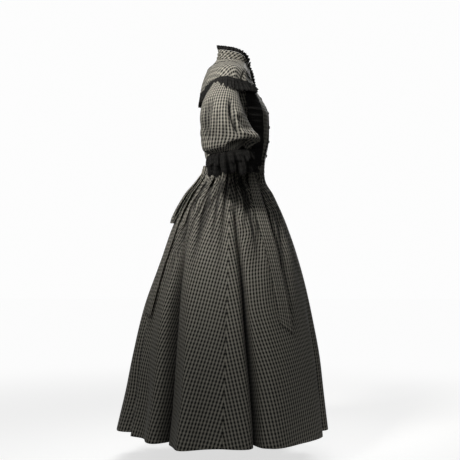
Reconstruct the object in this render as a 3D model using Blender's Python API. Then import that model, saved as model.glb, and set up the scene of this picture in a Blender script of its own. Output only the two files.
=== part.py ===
"""A checked day dress with a caped collar, puffed elbow sleeves, black frills, a gathered gored skirt and
a sash tied at the back, open and hollow as it is worn. Metres, +Z up. The front faces -Y and the wearer's
right is -X. The origin lies between the shoulder tips, at their height."""

import math
from collections import namedtuple

import bmesh
import bpy
import numpy as np

# Cloth and seams
CLOTH = 0.0016
LACE = 0.0012
SEAM = 0.0004

# Heights
BODICE_FOOT = -0.3357
BAND_TOP = -0.336
BAND_FOOT = -0.364
SKIRT_TOP = -0.3644
HEM = -1.304
UNDERARM = -0.131
BAND_PROUD = 0.0025

# The outline under the bodice at each height: distances forward, back and to each side
Torso = namedtuple("Torso", "z front back half")
TORSO = (
    Torso(-0.372, 0.125, 0.087, 0.119),
    Torso(-0.345, 0.125, 0.086, 0.118),
    Torso(-0.322, 0.127, 0.086, 0.120),
    Torso(-0.296, 0.132, 0.088, 0.126),
    Torso(-0.259, 0.139, 0.092, 0.136),
    Torso(-0.222, 0.142, 0.097, 0.146),
    Torso(-0.185, 0.142, 0.101, 0.154),
    Torso(-0.155, 0.141, 0.103, 0.159),
    Torso(-0.130, 0.134, 0.104, 0.163),
    Torso(-0.090, 0.112, 0.102, 0.170),
    Torso(-0.050, 0.087, 0.098, 0.179),
    Torso(-0.020, 0.080, 0.091, 0.178),
    Torso(0.000, 0.076, 0.084, 0.166),
    Torso(0.020, 0.068, 0.074, 0.124),
    Torso(0.040, 0.060, 0.060, 0.078),
    Torso(0.050, 0.055, 0.052, 0.063),
    Torso(0.062, 0.050, 0.046, 0.056),
)
ROUNDNESS = 2.2
NORMAL_STEP_DEG = 1.5
NORMAL_STEP = 0.004
NORMAL_TOP = 0.061

# The skirt's outer shape at each height
Skirt = namedtuple("Skirt", "z front back half")
SKIRT = (
    Skirt(-1.304, 0.3615, 0.417, 0.402),
    Skirt(-1.166, 0.347, 0.385, 0.380),
    Skirt(-1.047, 0.333, 0.3625, 0.358),
    Skirt(-0.855, 0.294, 0.316, 0.312),
    Skirt(-0.685, 0.252, 0.254, 0.262),
    Skirt(-0.548, 0.211, 0.200, 0.214),
    Skirt(-0.444, 0.166, 0.145, 0.166),
    Skirt(-0.395, 0.136, 0.107, 0.134),
    Skirt(-0.3644, 0.1275, 0.0895, 0.1215),
)

# Long folds of the skirt: where each leaves the waist and meets the hem, how far it rises or sinks at its
# fullest, its widths on both sides, and the shares of the way down where it begins and is at its fullest.
# Angles turn from the front to the right side.
Fold = namedtuple("Fold", "waist_deg hem_deg rise fore aft start full")
FOLDS = (
    Fold(14.0, 16.0, -0.050, 0.034, 0.042, 0.30, 1.15),
    Fold(62.0, 67.0, 0.020, 0.080, 0.030, 0.20, 1.15),
    Fold(92.0, 76.5, -0.070, 0.020, 0.024, 0.02, 0.80),
    Fold(95.0, 94.0, -0.012, 0.050, 0.050, 0.30, 1.15),
    Fold(128.0, 112.0, 0.052, 0.050, 0.034, 0.20, 1.15),
    Fold(152.0, 128.0, -0.115, 0.026, 0.036, 0.02, 0.90),
    Fold(156.0, 146.0, -0.045, 0.060, 0.070, 0.25, 1.15),
    Fold(168.0, 162.0, -0.085, 0.034, 0.036, 0.35, 1.15),
    Fold(196.0, 200.0, -0.090, 0.036, 0.034, 0.30, 1.15),
    Fold(214.0, 222.0, 0.020, 0.050, 0.050, 0.25, 1.15),
    Fold(206.0, 236.0, -0.100, 0.032, 0.028, 0.02, 0.95),
    Fold(232.0, 252.0, 0.045, 0.036, 0.050, 0.20, 1.15),
    Fold(262.0, 279.0, -0.072, 0.024, 0.020, 0.02, 0.85),
    Fold(296.0, 300.0, 0.018, 0.050, 0.060, 0.25, 1.15),
    Fold(318.0, 316.0, -0.055, 0.030, 0.030, 0.25, 1.15),
    Fold(345.0, 340.0, -0.040, 0.036, 0.036, 0.35, 1.15),
)
FOLD_TOP_WIDTH = 0.45
SEAM_WAIST_DEG = 90.0
SEAM_HEM_DEG = 94.0
GATHERS_PER_PANEL = 14
GATHER_DEPTH = 0.0085
GATHER_REACH = 0.15
GATHER_REACH_SWING = 0.05
GATHER_REACH_SWINGS = 2.6
GATHER_TOP_SHARE = 0.35
SKIRT_SAMPLES = 361
SKIRT_COLUMNS = 56
SKIRT_DOWN = (0.0, 0.03, 0.075, 0.14, 0.22, 0.32, 0.44, 0.58, 0.73, 0.87, 1.0)

# The armhole, an ellipse seen from the side
ARMHOLE_Y = 0.012
ARMHOLE_Z = -0.068
ARMHOLE_DEPTH = 0.046
ARMHOLE_RISE = 0.063
ARMHOLE_STEP_DEG = 22.5

# The right sleeve's rings: centre, half length to the front with its rise, half length outward with its rise,
# and the depth of its gathers
Ring = namedtuple("Ring", "x y z front front_rise outer outer_rise gather")
SLEEVE = (
    Ring(-0.186, 0.016, -0.078, 0.049, 0.000, 0.013, 0.042, 0.0030),
    Ring(-0.207, 0.027, -0.112, 0.061, 0.000, 0.032, 0.032, 0.0030),
    Ring(-0.228, 0.0285, -0.144, 0.0715, 0.000, 0.055, 0.027, 0.0020),
    Ring(-0.244, 0.024, -0.183, 0.082, 0.000, 0.075, 0.017, 0.0012),
    Ring(-0.250, 0.011, -0.224, 0.093, -0.004, 0.082, 0.006, 0.0012),
    Ring(-0.250, -0.001, -0.256, 0.1045, -0.008, 0.081, 0.000, 0.0020),
    Ring(-0.247, 0.000, -0.286, 0.093, 0.014, 0.077, 0.000, 0.0035),
    Ring(-0.243, 0.000, -0.302, 0.070, 0.010, 0.058, 0.000, 0.0030),
)
SLEEVE_COLUMNS = 48
SLEEVE_GATHERS = 16
CUFF = (
    Ring(-0.243, 0.000, -0.3025, 0.070, 0.010, 0.058, 0.000, 0.0030),
    Ring(-0.242, -0.003, -0.334, 0.080, 0.014, 0.070, 0.000, 0.0060),
    Ring(-0.240, -0.008, -0.364, 0.083, 0.012, 0.070, 0.000, 0.0080),
)

# The cape's edges, from its front corner to the centre back
Cape = namedtuple("Cape", "along inner_deg inner_z outer_deg outer_z stand lace_stand")
CAPE = (
    Cape(0.00, 22.0, -0.040, 22.0, -0.052, 0.008, 0.019),
    Cape(0.12, 38.0, -0.026, 42.0, -0.049, 0.009, 0.021),
    Cape(0.26, 56.0, 0.004, 64.0, -0.045, 0.012, 0.028),
    Cape(0.38, 75.0, 0.026, 82.0, -0.043, 0.024, 0.050),
    Cape(0.50, 91.0, 0.033, 93.0, -0.036, 0.036, 0.068),
    Cape(0.60, 108.0, 0.031, 107.0, -0.041, 0.039, 0.072),
    Cape(0.72, 130.0, 0.025, 128.0, -0.056, 0.025, 0.046),
    Cape(0.86, 155.0, 0.014, 155.0, -0.072, 0.011, 0.024),
    Cape(1.00, 180.0, 0.008, 180.0, -0.080, 0.007, 0.014),
)
CAPE_BEND = 1.7
CAPE_LIFT = 0.0045
CAPE_COLUMNS = 20
CAPE_ROWS = 4
CAPE_LACE_DROP = 0.040
CAPE_LACE_WAVES = 22
CAPE_LACE_WAVE = 0.0045
CAPE_LENGTH = 0.45

# The seam of the frills that run from the cape's front corners to the waist
Frill = namedtuple("Frill", "z seam_deg width stand")
FRILL = (
    Frill(-0.334, 29.0, 0.040, 0.0070),
    Frill(-0.280, 33.0, 0.046, 0.0082),
    Frill(-0.220, 36.0, 0.050, 0.0082),
    Frill(-0.170, 38.0, 0.052, 0.0082),
    Frill(-0.130, 39.0, 0.052, 0.0082),
    Frill(-0.095, 38.0, 0.050, 0.0070),
    Frill(-0.066, 30.0, 0.042, 0.0050),
)
FRILL_WAVES = 12
FRILL_WAVE_SHARE = 0.36
FRILL_LIFT = 0.0032

# Neck, collar and placket
NECK_FRONT_Z = 0.022
NECK_SIDE_Z = 0.050
NECK_CURVE = 0.8
NECK_BACK_Z = 0.055
COLLAR_FRONT_HEIGHT = 0.027
COLLAR_BACK_HEIGHT = 0.038
COLLAR_LEAN = 0.006
COLLAR_LACE_HEIGHT = 0.014
COLLAR_LACE_WAVES = 20
STEPS_PER_WAVE = 4
COLLAR_LACE_STAND = 0.006
COLLAR_LACE_WAVE = 0.0025
PLACKET_HALF = 0.016
FRONT_COLUMNS = 8
BACK_COLUMNS = 14
BAND_COLUMNS = 48
BUTTON_RADIUS = 0.0055
BUTTON_TOP_SHARE = 0.72
BUTTON_SIDES = 12
BUTTON_DEPTH = 0.0034
BUTTON_FIRST_Z = -0.300
BUTTON_PITCH = 0.053
BUTTON_COUNT = 7

# The sash: its knot, and its strips as centre angle, half width and distance off the skirt at each height
KNOT_HALF = (0.017, 0.0065, 0.0135)
KNOT_Z = -0.3455
KNOT_SIDES = 14
KNOT_RINGS = 9
KNOT_SQUARENESS = 0.8
Strip = namedtuple("Strip", "z out deg half")
LOOP = (
    Strip(-0.3600, 0.0100, 8.0, 0.0105),
    Strip(-0.4000, 0.0098, 11.2, 0.019),
    Strip(-0.4500, 0.0095, 11.6, 0.027),
    Strip(-0.5000, 0.0095, 11.2, 0.030),
    Strip(-0.5350, 0.0110, 10.8, 0.031),
    Strip(-0.5480, 0.0165, 10.6, 0.031),
    Strip(-0.5350, 0.0225, 10.8, 0.031),
    Strip(-0.5000, 0.0250, 11.2, 0.030),
    Strip(-0.4500, 0.0245, 11.6, 0.027),
    Strip(-0.4000, 0.0215, 11.2, 0.019),
    Strip(-0.3600, 0.0165, 8.0, 0.0105),
)
BACK_TAIL = (
    Strip(-0.3600, 0.0024, 7.5, 0.0105),
    Strip(-0.3900, 0.0058, 11.0, 0.018),
    Strip(-0.4500, 0.0060, 14.0, 0.028),
    Strip(-0.5300, 0.0062, 17.0, 0.031),
    Strip(-0.6200, 0.0064, 20.0, 0.031),
    Strip(-0.7100, 0.0066, 22.0, 0.031),
    Strip(-0.7950, 0.0068, 24.0, 0.031),
    Strip(-0.8750, 0.0070, 25.0, 0.031),
)
BACK_TAIL_SLANT = 0.004
FRONT_TAIL = (
    Strip(-0.3440, 0.0060, 128.0, 0.011),
    Strip(-0.3640, 0.0064, 127.0, 0.013),
    Strip(-0.3950, 0.0066, 125.5, 0.018),
    Strip(-0.4600, 0.0064, 123.5, 0.023),
    Strip(-0.5500, 0.0066, 124.5, 0.028),
    Strip(-0.6500, 0.0068, 126.7, 0.031),
    Strip(-0.7500, 0.0070, 127.7, 0.031),
    Strip(-0.8400, 0.0072, 128.2, 0.031),
    Strip(-0.9150, 0.0074, 128.2, 0.031),
)
FRONT_TAIL_SLANT = 0.018

CHECK_COLOUR = (0.15, 0.14, 0.12, 1.0)
LACE_COLOUR = (0.012, 0.012, 0.011, 1.0)
BUTTON_COLOUR = (0.020, 0.019, 0.018, 1.0)


def read(rows, key, name, at):
    """One column of a table, read at a place between its rows with no overshoot."""
    keys = np.array([getattr(row, key) for row in rows])
    values = np.array([getattr(row, name) for row in rows])
    steps = np.diff(keys)
    rates = np.diff(values) / steps
    slopes = np.zeros(len(keys))
    slopes[0] = rates[0]
    slopes[-1] = rates[-1]
    for i in range(1, len(keys) - 1):
        if rates[i - 1] * rates[i] > 0:
            slopes[i] = 2 * rates[i - 1] * rates[i] / (rates[i - 1] + rates[i])
    i = int(np.clip(np.searchsorted(keys, at) - 1, 0, len(keys) - 2))
    f = min(max((at - keys[i]) / steps[i], 0.0), 1.0)
    start = (1 + 2 * f) * (1 - f) ** 2 * values[i] + f * (1 - f) ** 2 * steps[i] * slopes[i]
    end = f * f * (3 - 2 * f) * values[i + 1] + f * f * (f - 1) * steps[i] * slopes[i + 1]
    return start + end


def unit(vectors):
    return vectors / np.maximum(np.linalg.norm(vectors, axis=-1, keepdims=True), 1e-9)


def ease(value):
    value = min(max(value, 0.0), 1.0)
    return value * value * (3 - 2 * value)


def material(name, colour, roughness):
    made = bpy.data.materials.new(name)
    made.use_nodes = True
    shader = made.node_tree.nodes["Principled BSDF"]
    shader.inputs["Base Color"].default_value = colour
    shader.inputs["Roughness"].default_value = roughness
    shader.inputs["Metallic"].default_value = 0.0
    return made


def sheet_normals(grid, closed):
    """The normals of a grid of points, pointing away from the wall's inner side."""
    if closed:
        across = np.roll(grid, -1, axis=1) - np.roll(grid, 1, axis=1)
    else:
        across = np.gradient(grid, axis=1)
    along = np.gradient(grid, axis=0)
    return unit(np.cross(along, across))


def wall(name, outer, thickness, finish, closed=False, normals=None):
    """A cloth wall under the given outer points, rows by columns, closed round the columns or open."""
    outer = np.asarray(outer, float)
    if normals is None:
        normals = sheet_normals(outer, closed)
    inner = outer - normals * thickness
    rows, columns = outer.shape[:2]
    layer = rows * columns
    last = columns if closed else columns - 1

    def at(side, i, j):
        return side * layer + i * columns + j % columns

    faces = []
    for i in range(rows - 1):
        for j in range(last):
            a, b, c, d = at(0, i, j), at(0, i, j + 1), at(0, i + 1, j + 1), at(0, i + 1, j)
            faces += [(a, c, b), (a, d, c)]
            faces += [(a + layer, b + layer, c + layer), (a + layer, c + layer, d + layer)]
    rims = [[at(0, 0, j) for j in range(last + 1)], [at(0, rows - 1, j) for j in range(last + 1)][::-1]]
    if not closed:
        rims.append([at(0, i, columns - 1) for i in range(rows)])
        rims.append([at(0, i, 0) for i in range(rows)][::-1])
    for rim in rims:
        for a, b in zip(rim, rim[1:]):
            faces += [(a, b, b + layer), (a, b + layer, a + layer)]
    points = np.concatenate([outer.reshape(-1, 3), inner.reshape(-1, 3)])
    return solid(name, points, faces, finish)


def solid(name, points, faces, finish):
    mesh = bpy.data.meshes.new(name)
    mesh.from_pydata([tuple(p) for p in points], [], faces)
    shape = bmesh.new()
    shape.from_mesh(mesh)
    bmesh.ops.recalc_face_normals(shape, faces=shape.faces)
    shape.to_mesh(mesh)
    shape.free()
    mesh.materials.append(finish)
    made = bpy.data.objects.new(name, mesh)
    bpy.context.scene.collection.objects.link(made)
    return made


def mirrored(grid):
    """The other side's copy of a grid, with its columns turned round so that it still faces outward."""
    return (np.asarray(grid) * np.array([-1.0, 1.0, 1.0]))[:, ::-1]


def torso(deg, z):
    turn = math.radians(deg)
    side = math.sin(turn)
    ahead = math.cos(turn)
    depth = read(TORSO, "z", "front" if ahead > 0 else "back", z)
    half = read(TORSO, "z", "half", z)
    power = 2 / ROUNDNESS
    x = -half * math.copysign(abs(side) ** power, side)
    y = -depth * math.copysign(abs(ahead) ** power, ahead)
    return np.array([x, y, z])


def torso_normal(deg, z):
    """The way out of the bodice's surface, upward as well where it slopes."""
    turned = torso(deg + NORMAL_STEP_DEG, z) - torso(deg - NORMAL_STEP_DEG, z)
    raised = torso(deg, min(z + NORMAL_STEP, NORMAL_TOP)) - torso(deg, z - NORMAL_STEP)
    return unit(np.cross(raised, turned))


def off_torso(deg, z, out):
    return torso(deg, z) + torso_normal(deg, z) * out


def neck_z(deg):
    """The height of the neck seam round the neck."""
    side = abs(math.sin(math.radians(deg)))
    if math.cos(math.radians(deg)) > 0:
        return NECK_FRONT_Z + (NECK_SIDE_Z - NECK_FRONT_Z) * side ** NECK_CURVE
    return NECK_BACK_Z + (NECK_SIDE_Z - NECK_BACK_Z) * side


def deg_of_x(x, z):
    """The angle at which the bodice's front has this distance to the side."""
    return math.degrees(math.asin((x / read(TORSO, "z", "half", z)) ** (ROUNDNESS / 2)))


def armhole_edge(z, back):
    """The angle of the armhole's edge on the bodice at this height."""
    level = (z - ARMHOLE_Z) / ARMHOLE_RISE
    reach = ARMHOLE_DEPTH * math.sqrt(max(0.0, 1 - level * level))
    y = ARMHOLE_Y + (reach if back else -reach)
    depth = read(TORSO, "z", "back" if y > 0 else "front", z)
    share = (abs(y) / depth) ** (ROUNDNESS / 2)
    return 90.0 + math.copysign(math.degrees(math.asin(share)), y)


def armhole_join_deg():
    """The angle of the armhole's lowest and highest points, where side and shoulder seams meet it."""
    return armhole_edge(UNDERARM, True)


def bodice_levels():
    """Heights of the bodice's rows: below the armhole, along it, and above it as shares of the way up."""
    below = [BODICE_FOOT, -0.310, -0.270, -0.225, -0.180, -0.155, -0.142]
    steps = int(round(180 / ARMHOLE_STEP_DEG))
    beside = []
    for k in range(steps + 1):
        beside.append(ARMHOLE_Z + ARMHOLE_RISE * math.sin(math.radians(-90 + k * ARMHOLE_STEP_DEG)))
    return below, beside, (0.5, 1.0)


def bodice_row(degs, z, rise):
    """Points and normals of one row at a height, or at a share of the way from there to the neck seam."""
    heights = [z + (neck_z(deg) - z) * rise for deg in degs]
    points = [torso(deg, height) for deg, height in zip(degs, heights)]
    normals = [torso_normal(deg, height) for deg, height in zip(degs, heights)]
    return points, normals


def front_degs(limit, z, columns=FRONT_COLUMNS):
    """Angles across the right front: the front edge, the placket's edge, then even steps to the limit."""
    edge = deg_of_x(SEAM / 2, z)
    first = deg_of_x(PLACKET_HALF, z)
    rest = [first + (limit - first) * k / (columns - 1) for k in range(1, columns)]
    return [edge, first] + rest


def seam_shift(z):
    """Half a seam's gap as an angle at the side of the bodice."""
    return math.degrees(SEAM / 2 / read(TORSO, "z", "half", z))


def bodice_grid(back):
    below, beside, above = bodice_levels()
    join = armhole_join_deg()
    levels = [(z, 0.0) for z in below] + [(z, 0.0) for z in beside] + [(beside[-1], share) for share in above]
    points = []
    normals = []
    for z, rise in levels:
        if UNDERARM < z < beside[-1] - 1e-6:
            limit = armhole_edge(z, back)
        elif back:
            limit = join + seam_shift(z)
        else:
            limit = join - seam_shift(z)
        if back:
            degs = [limit + (360 - 2 * limit) * k / BACK_COLUMNS for k in range(BACK_COLUMNS + 1)]
        else:
            height = z + (neck_z(0) - z) * rise
            degs = front_degs(limit, height)
        row_points, row_normals = bodice_row(degs, z, rise)
        points.append(row_points)
        normals.append(row_normals)
    return np.array(points), np.array(normals)


def make_bodice(check):
    points, normals = bodice_grid(back=False)
    wall("bodice_front_right", points, CLOTH, check, normals=normals)
    wall("bodice_front_left", mirrored(points), CLOTH, check, normals=mirrored(normals))
    strip = points[:, 1::-1] + normals[:, 1::-1] * (CLOTH + SEAM)
    centre = strip[:, 1:2].copy()
    centre[:, :, 0] = 0.0
    left = strip[:, 0:1] * np.array([-1.0, 1.0, 1.0])
    placket = np.concatenate([left, centre, strip[:, 0:1]], axis=1)
    wall("front_placket", placket, CLOTH, check)
    points, normals = bodice_grid(back=True)
    wall("bodice_back", points, CLOTH, check, normals=normals)
    return centre[:, 0]


def make_buttons(finish, placket):
    """The buttons, standing on the placket's middle line."""
    for k in range(BUTTON_COUNT):
        z = BUTTON_FIRST_Z + k * BUTTON_PITCH
        out = torso_normal(0.0, z)
        seat = np.array([0.0, np.interp(z, placket[:, 2], placket[:, 1]), z])
        shape = bmesh.new()
        bmesh.ops.create_cone(
            shape,
            cap_ends=True,
            segments=BUTTON_SIDES,
            radius1=BUTTON_RADIUS,
            radius2=BUTTON_RADIUS * BUTTON_TOP_SHARE,
            depth=BUTTON_DEPTH,
        )
        mesh = bpy.data.meshes.new("button")
        shape.to_mesh(mesh)
        shape.free()
        mesh.materials.append(finish)
        button = bpy.data.objects.new(f"button_{k + 1}", mesh)
        tilt = math.atan2(out[2], -out[1])
        button.rotation_euler = (math.pi / 2 - tilt, 0.0, 0.0)
        button.location = seat + out * (BUTTON_DEPTH / 2 + SEAM)
        bpy.context.scene.collection.objects.link(button)


def make_band(check):
    grid = []
    for z in (BAND_FOOT, BAND_TOP):
        grid.append([off_torso(360.0 * k / BAND_COLUMNS, z, BAND_PROUD) for k in range(BAND_COLUMNS)])
    wall("waistband", grid, CLOTH, check, closed=True)


def down(z):
    """How far down the skirt a height is, from 0 at the waist to 1 at the hem."""
    return (SKIRT_TOP - z) / (SKIRT_TOP - HEM)


def hull_radius(deg, z):
    turn = math.radians(deg)
    depth = read(SKIRT, "z", "front" if math.cos(turn) > 0 else "back", z)
    half = read(SKIRT, "z", "half", z)
    return 1 / math.hypot(math.cos(turn) / depth, math.sin(turn) / half)


def fold_rise(deg, z, radius):
    """How far the long folds raise or sink the skirt here."""
    low = down(z)
    total = 0.0
    for fold in FOLDS:
        settled = 1 - (1 - low) ** 2
        middle = fold.waist_deg + (fold.hem_deg - fold.waist_deg) * settled
        turned = (deg - middle + 180) % 360 - 180
        width = (fold.fore if turned < 0 else fold.aft) * (FOLD_TOP_WIDTH + (1 - FOLD_TOP_WIDTH) * low)
        share = math.exp(-((math.radians(turned) * radius / width) ** 2))
        total += fold.rise * share * ease((low - fold.start) / (fold.full - fold.start))
    return total


def off_skirt(deg, z, out):
    """A point this far off the skirt's outer shape."""
    turn = math.radians(deg)
    radius = hull_radius(deg, z) + out
    return np.array([-radius * math.sin(turn), -radius * math.cos(turn), z])


def seam_deg(z):
    return SEAM_WAIST_DEG + (SEAM_HEM_DEG - SEAM_WAIST_DEG) * down(z)


def panel_row(start, end, z):
    """Points evenly spaced along the cloth from one side seam to the other, before gathering."""
    degs = np.linspace(start, end, SKIRT_SAMPLES)
    dense = []
    for deg in degs:
        radius = hull_radius(deg, z)
        turn = math.radians(deg)
        radius += fold_rise(deg, z, radius)
        dense.append((-radius * math.sin(turn), -radius * math.cos(turn), z))
    dense = np.array(dense)
    lengths = np.concatenate([[0.0], np.cumsum(np.linalg.norm(np.diff(dense, axis=0), axis=1))])
    wanted = np.linspace(0.0, lengths[-1], SKIRT_COLUMNS + 1)
    return np.array([[np.interp(at, lengths, dense[:, axis]) for axis in range(3)] for at in wanted])


def gather_sink(share, low):
    """How far the gathers sink the cloth at a share of the way across a panel."""
    reach = GATHER_REACH + GATHER_REACH_SWING * math.sin(2 * math.pi * GATHER_REACH_SWINGS * share)
    opened = GATHER_TOP_SHARE + (1 - GATHER_TOP_SHARE) * ease(low / SKIRT_DOWN[2])
    depth = GATHER_DEPTH * math.exp(-((low / reach) ** 2)) * opened
    return depth * (1 - math.cos(2 * math.pi * GATHERS_PER_PANEL * share)) / 2


def level_normals(ring):
    """The level way out of a closed ring of points."""
    along = np.roll(ring, -1, axis=0) - np.roll(ring, 1, axis=0)
    return unit(np.stack([-along[:, 1], along[:, 0], np.zeros(len(ring))], axis=1))


def make_skirt(check):
    panels = {"skirt_front": ([], []), "skirt_back": ([], [])}
    sinks = np.arange(2 * SKIRT_COLUMNS) % SKIRT_COLUMNS / SKIRT_COLUMNS
    for low in SKIRT_DOWN:
        z = SKIRT_TOP + (HEM - SKIRT_TOP) * low
        seam = seam_deg(z)
        shift = math.degrees(SEAM / 2 / hull_radius(seam, z))
        front = panel_row(-seam + shift, seam - shift, z)
        back = panel_row(seam + shift, 360 - seam - shift, z)
        ring = np.concatenate([front[:-1], back[:-1]])
        sunk = np.array([gather_sink(share, low) for share in sinks])
        gathered = ring - level_normals(ring) * sunk[:, None]
        normals = level_normals(gathered)
        for name, smooth, start in (("skirt_front", front, 0), ("skirt_back", back, SKIRT_COLUMNS)):
            places = np.arange(start, start + SKIRT_COLUMNS)
            points = np.concatenate([gathered[places], smooth[-1:]])
            facing = np.concatenate([normals[places], normals[[(start + SKIRT_COLUMNS) % len(ring)]]])
            panels[name][0].append(points)
            panels[name][1].append(facing)
    for name, (points, normals) in panels.items():
        wall(name, np.array(points), CLOTH, check, normals=np.array(normals))


def ring_points(ring, columns, gathers):
    """The points of a sleeve's ring, from its front round the outside, with its gathers sunk in."""
    points = []
    for k in range(columns):
        turn = 2 * math.pi * k / columns
        sink = ring.gather * (1 - math.cos(gathers * turn)) / 2
        ahead = math.cos(turn)
        outward = math.sin(turn)
        front = ring.front - sink
        outer = ring.outer - sink
        points.append(
            (
                ring.x - outer * outward,
                ring.y - front * ahead,
                ring.z + ring.front_rise * ahead + ring.outer_rise * outward,
            )
        )
    return points


def armhole_ring(columns):
    """The sleeve's first ring, just inside the bodice's armhole edge."""
    chord_sag = ARMHOLE_RISE * (1 - math.cos(math.radians(ARMHOLE_STEP_DEG / 2)))
    inset = chord_sag + SEAM
    points = []
    for k in range(columns):
        turn = 2 * math.pi * k / columns
        y = ARMHOLE_Y - (ARMHOLE_DEPTH - inset) * math.cos(turn)
        z = ARMHOLE_Z + (ARMHOLE_RISE - inset) * math.sin(turn)
        depth = read(TORSO, "z", "back" if y > 0 else "front", z)
        half = read(TORSO, "z", "half", z)
        x = half * (1 - (abs(y) / depth) ** ROUNDNESS) ** (1 / ROUNDNESS)
        points.append((-x, y, z))
    return points


def make_sleeves(check, lace):
    grid = [armhole_ring(SLEEVE_COLUMNS)]
    grid += [ring_points(ring, SLEEVE_COLUMNS, SLEEVE_GATHERS) for ring in SLEEVE]
    grid = grid[::-1]
    cuff = [ring_points(ring, SLEEVE_COLUMNS, SLEEVE_GATHERS) for ring in CUFF[::-1]]
    for side, turned in (("right", np.array), ("left", mirrored)):
        wall(f"sleeve_{side}", turned(grid), CLOTH, check, closed=True)
        wall(f"cuff_lace_{side}", turned(cuff), LACE, lace, closed=True)


def cape_point(along, share):
    """A point of the right half of the cape, from the front corner to the back and from neck to edge."""
    inner_deg = read(CAPE, "along", "inner_deg", along)
    outer_deg = read(CAPE, "along", "outer_deg", along)
    inner_z = read(CAPE, "along", "inner_z", along)
    outer_z = read(CAPE, "along", "outer_z", along)
    stand = read(CAPE, "along", "stand", along)
    out = CAPE_LIFT + (stand - CAPE_LIFT) * share ** CAPE_BEND
    return off_torso(inner_deg + (outer_deg - inner_deg) * share, inner_z + (outer_z - inner_z) * share, out)


def cape_lace_foot(along, swing):
    """The lower edge of the cape's lace, standing further off than its upper edge."""
    stand = read(CAPE, "along", "stand", along)
    lace_stand = read(CAPE, "along", "lace_stand", along)
    fall = math.sqrt(CAPE_LACE_DROP ** 2 - (lace_stand - stand) ** 2)
    deg = read(CAPE, "along", "outer_deg", along)
    z = read(CAPE, "along", "outer_z", along) - fall
    return off_torso(deg, z, lace_stand + swing)


def make_cape(check, lace):
    last = 1 - SEAM / 2 / CAPE_LENGTH
    grid = []
    for i in range(CAPE_ROWS + 1):
        grid.append([cape_point(last * k / CAPE_COLUMNS, i / CAPE_ROWS) for k in range(CAPE_COLUMNS + 1)])
    grid = np.array(grid)[::-1]
    count = CAPE_LACE_WAVES * STEPS_PER_WAVE
    lace_last = 1 - SEAM / CAPE_LENGTH
    top = []
    foot = []
    for k in range(count + 1):
        along = lace_last * k / count
        swing = CAPE_LACE_WAVE * math.cos(2 * math.pi * CAPE_LACE_WAVES * k / count)
        edge = cape_point(along, 1.0)
        hem = cape_lace_foot(along, swing)
        top.append(edge + unit(hem - edge) * (CLOTH + SEAM))
        foot.append(hem)
    frill = np.array([foot, top])
    for side, turned in (("right", np.array), ("left", mirrored)):
        wall(f"cape_{side}", turned(grid), CLOTH, check)
        wall(f"cape_lace_{side}", turned(frill), LACE, lace)


def make_front_frills(lace):
    count = FRILL_WAVES * STEPS_PER_WAVE
    seam = []
    edge = []
    for k in range(count + 1):
        z = FRILL[0].z + (FRILL[-1].z - FRILL[0].z) * k / count
        start = read(FRILL, "z", "seam_deg", z)
        width = read(FRILL, "z", "width", z)
        stand = read(FRILL, "z", "stand", z)
        swing = 1 + FRILL_WAVE_SHARE * math.cos(2 * math.pi * FRILL_WAVES * k / count)
        reach = math.degrees(width / read(TORSO, "z", "half", z))
        seam.append(off_torso(start, z, FRILL_LIFT))
        edge.append(off_torso(start + reach, z, stand * swing))
    grid = np.array([seam, edge]).transpose(1, 0, 2)
    for side, turned in (("right", np.array), ("left", mirrored)):
        wall(f"front_lace_{side}", turned(grid), LACE, lace)


def collar_degs():
    """Angles round the neck seam, the same as the bodice's own columns there."""
    join = armhole_join_deg()
    front = front_degs(join - seam_shift(NECK_SIDE_Z), neck_z(0))
    back = [join + (360 - 2 * join) * k / BACK_COLUMNS for k in range(1, BACK_COLUMNS)]
    return front + back + [360 - deg for deg in front[::-1]]


def make_collar(check, lace):
    degs = collar_degs()
    foot = []
    head = []
    for deg in degs:
        turn = math.radians(deg)
        front = (1 + math.cos(turn)) / 2
        height = COLLAR_BACK_HEIGHT + (COLLAR_FRONT_HEIGHT - COLLAR_BACK_HEIGHT) * front
        base = torso(deg, neck_z(deg))
        rim = base + np.array([0.0, 0.0, SEAM])
        lean = unit(np.array([-base[0], -base[1], 0.0])) * COLLAR_LEAN * (1 - front)
        foot.append(rim)
        head.append(rim + np.array([0.0, 0.0, height]) + lean)
    wall("collar_band", np.array([foot, head]), CLOTH, check)
    count = COLLAR_LACE_WAVES * STEPS_PER_WAVE
    rim = np.array(head)
    places = np.linspace(0, len(rim) - 1, count + 1)
    low = []
    high = []
    for k, place in enumerate(places):
        at = np.array([np.interp(place, range(len(rim)), rim[:, axis]) for axis in range(3)])
        out = unit(np.array([at[0], at[1], 0.0]))
        swing = COLLAR_LACE_WAVE * math.cos(2 * math.pi * COLLAR_LACE_WAVES * k / count)
        low.append(at + np.array([0.0, 0.0, SEAM]))
        high.append(at + np.array([0.0, 0.0, SEAM + COLLAR_LACE_HEIGHT]) + out * (COLLAR_LACE_STAND + swing))
    wall("collar_lace", np.array([low, high]), LACE, lace)


def sash_strip(name, rows, side, slant, check, columns=3):
    """A strip of the sash on the skirt, from its table. Its angles turn from the back to the given side."""
    grid = []
    for i, row in enumerate(rows):
        middle = 180.0 - side * row.deg
        reach = math.degrees(row.half / (hull_radius(middle, row.z) + row.out))
        line = []
        for k in range(columns):
            across = 2 * k / (columns - 1) - 1
            drop = slant * across * side if i == len(rows) - 1 else 0.0
            line.append(off_skirt(middle + reach * across, row.z + drop, row.out))
        grid.append(line)
    return wall(name, np.array(grid)[::-1], CLOTH, check)


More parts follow.
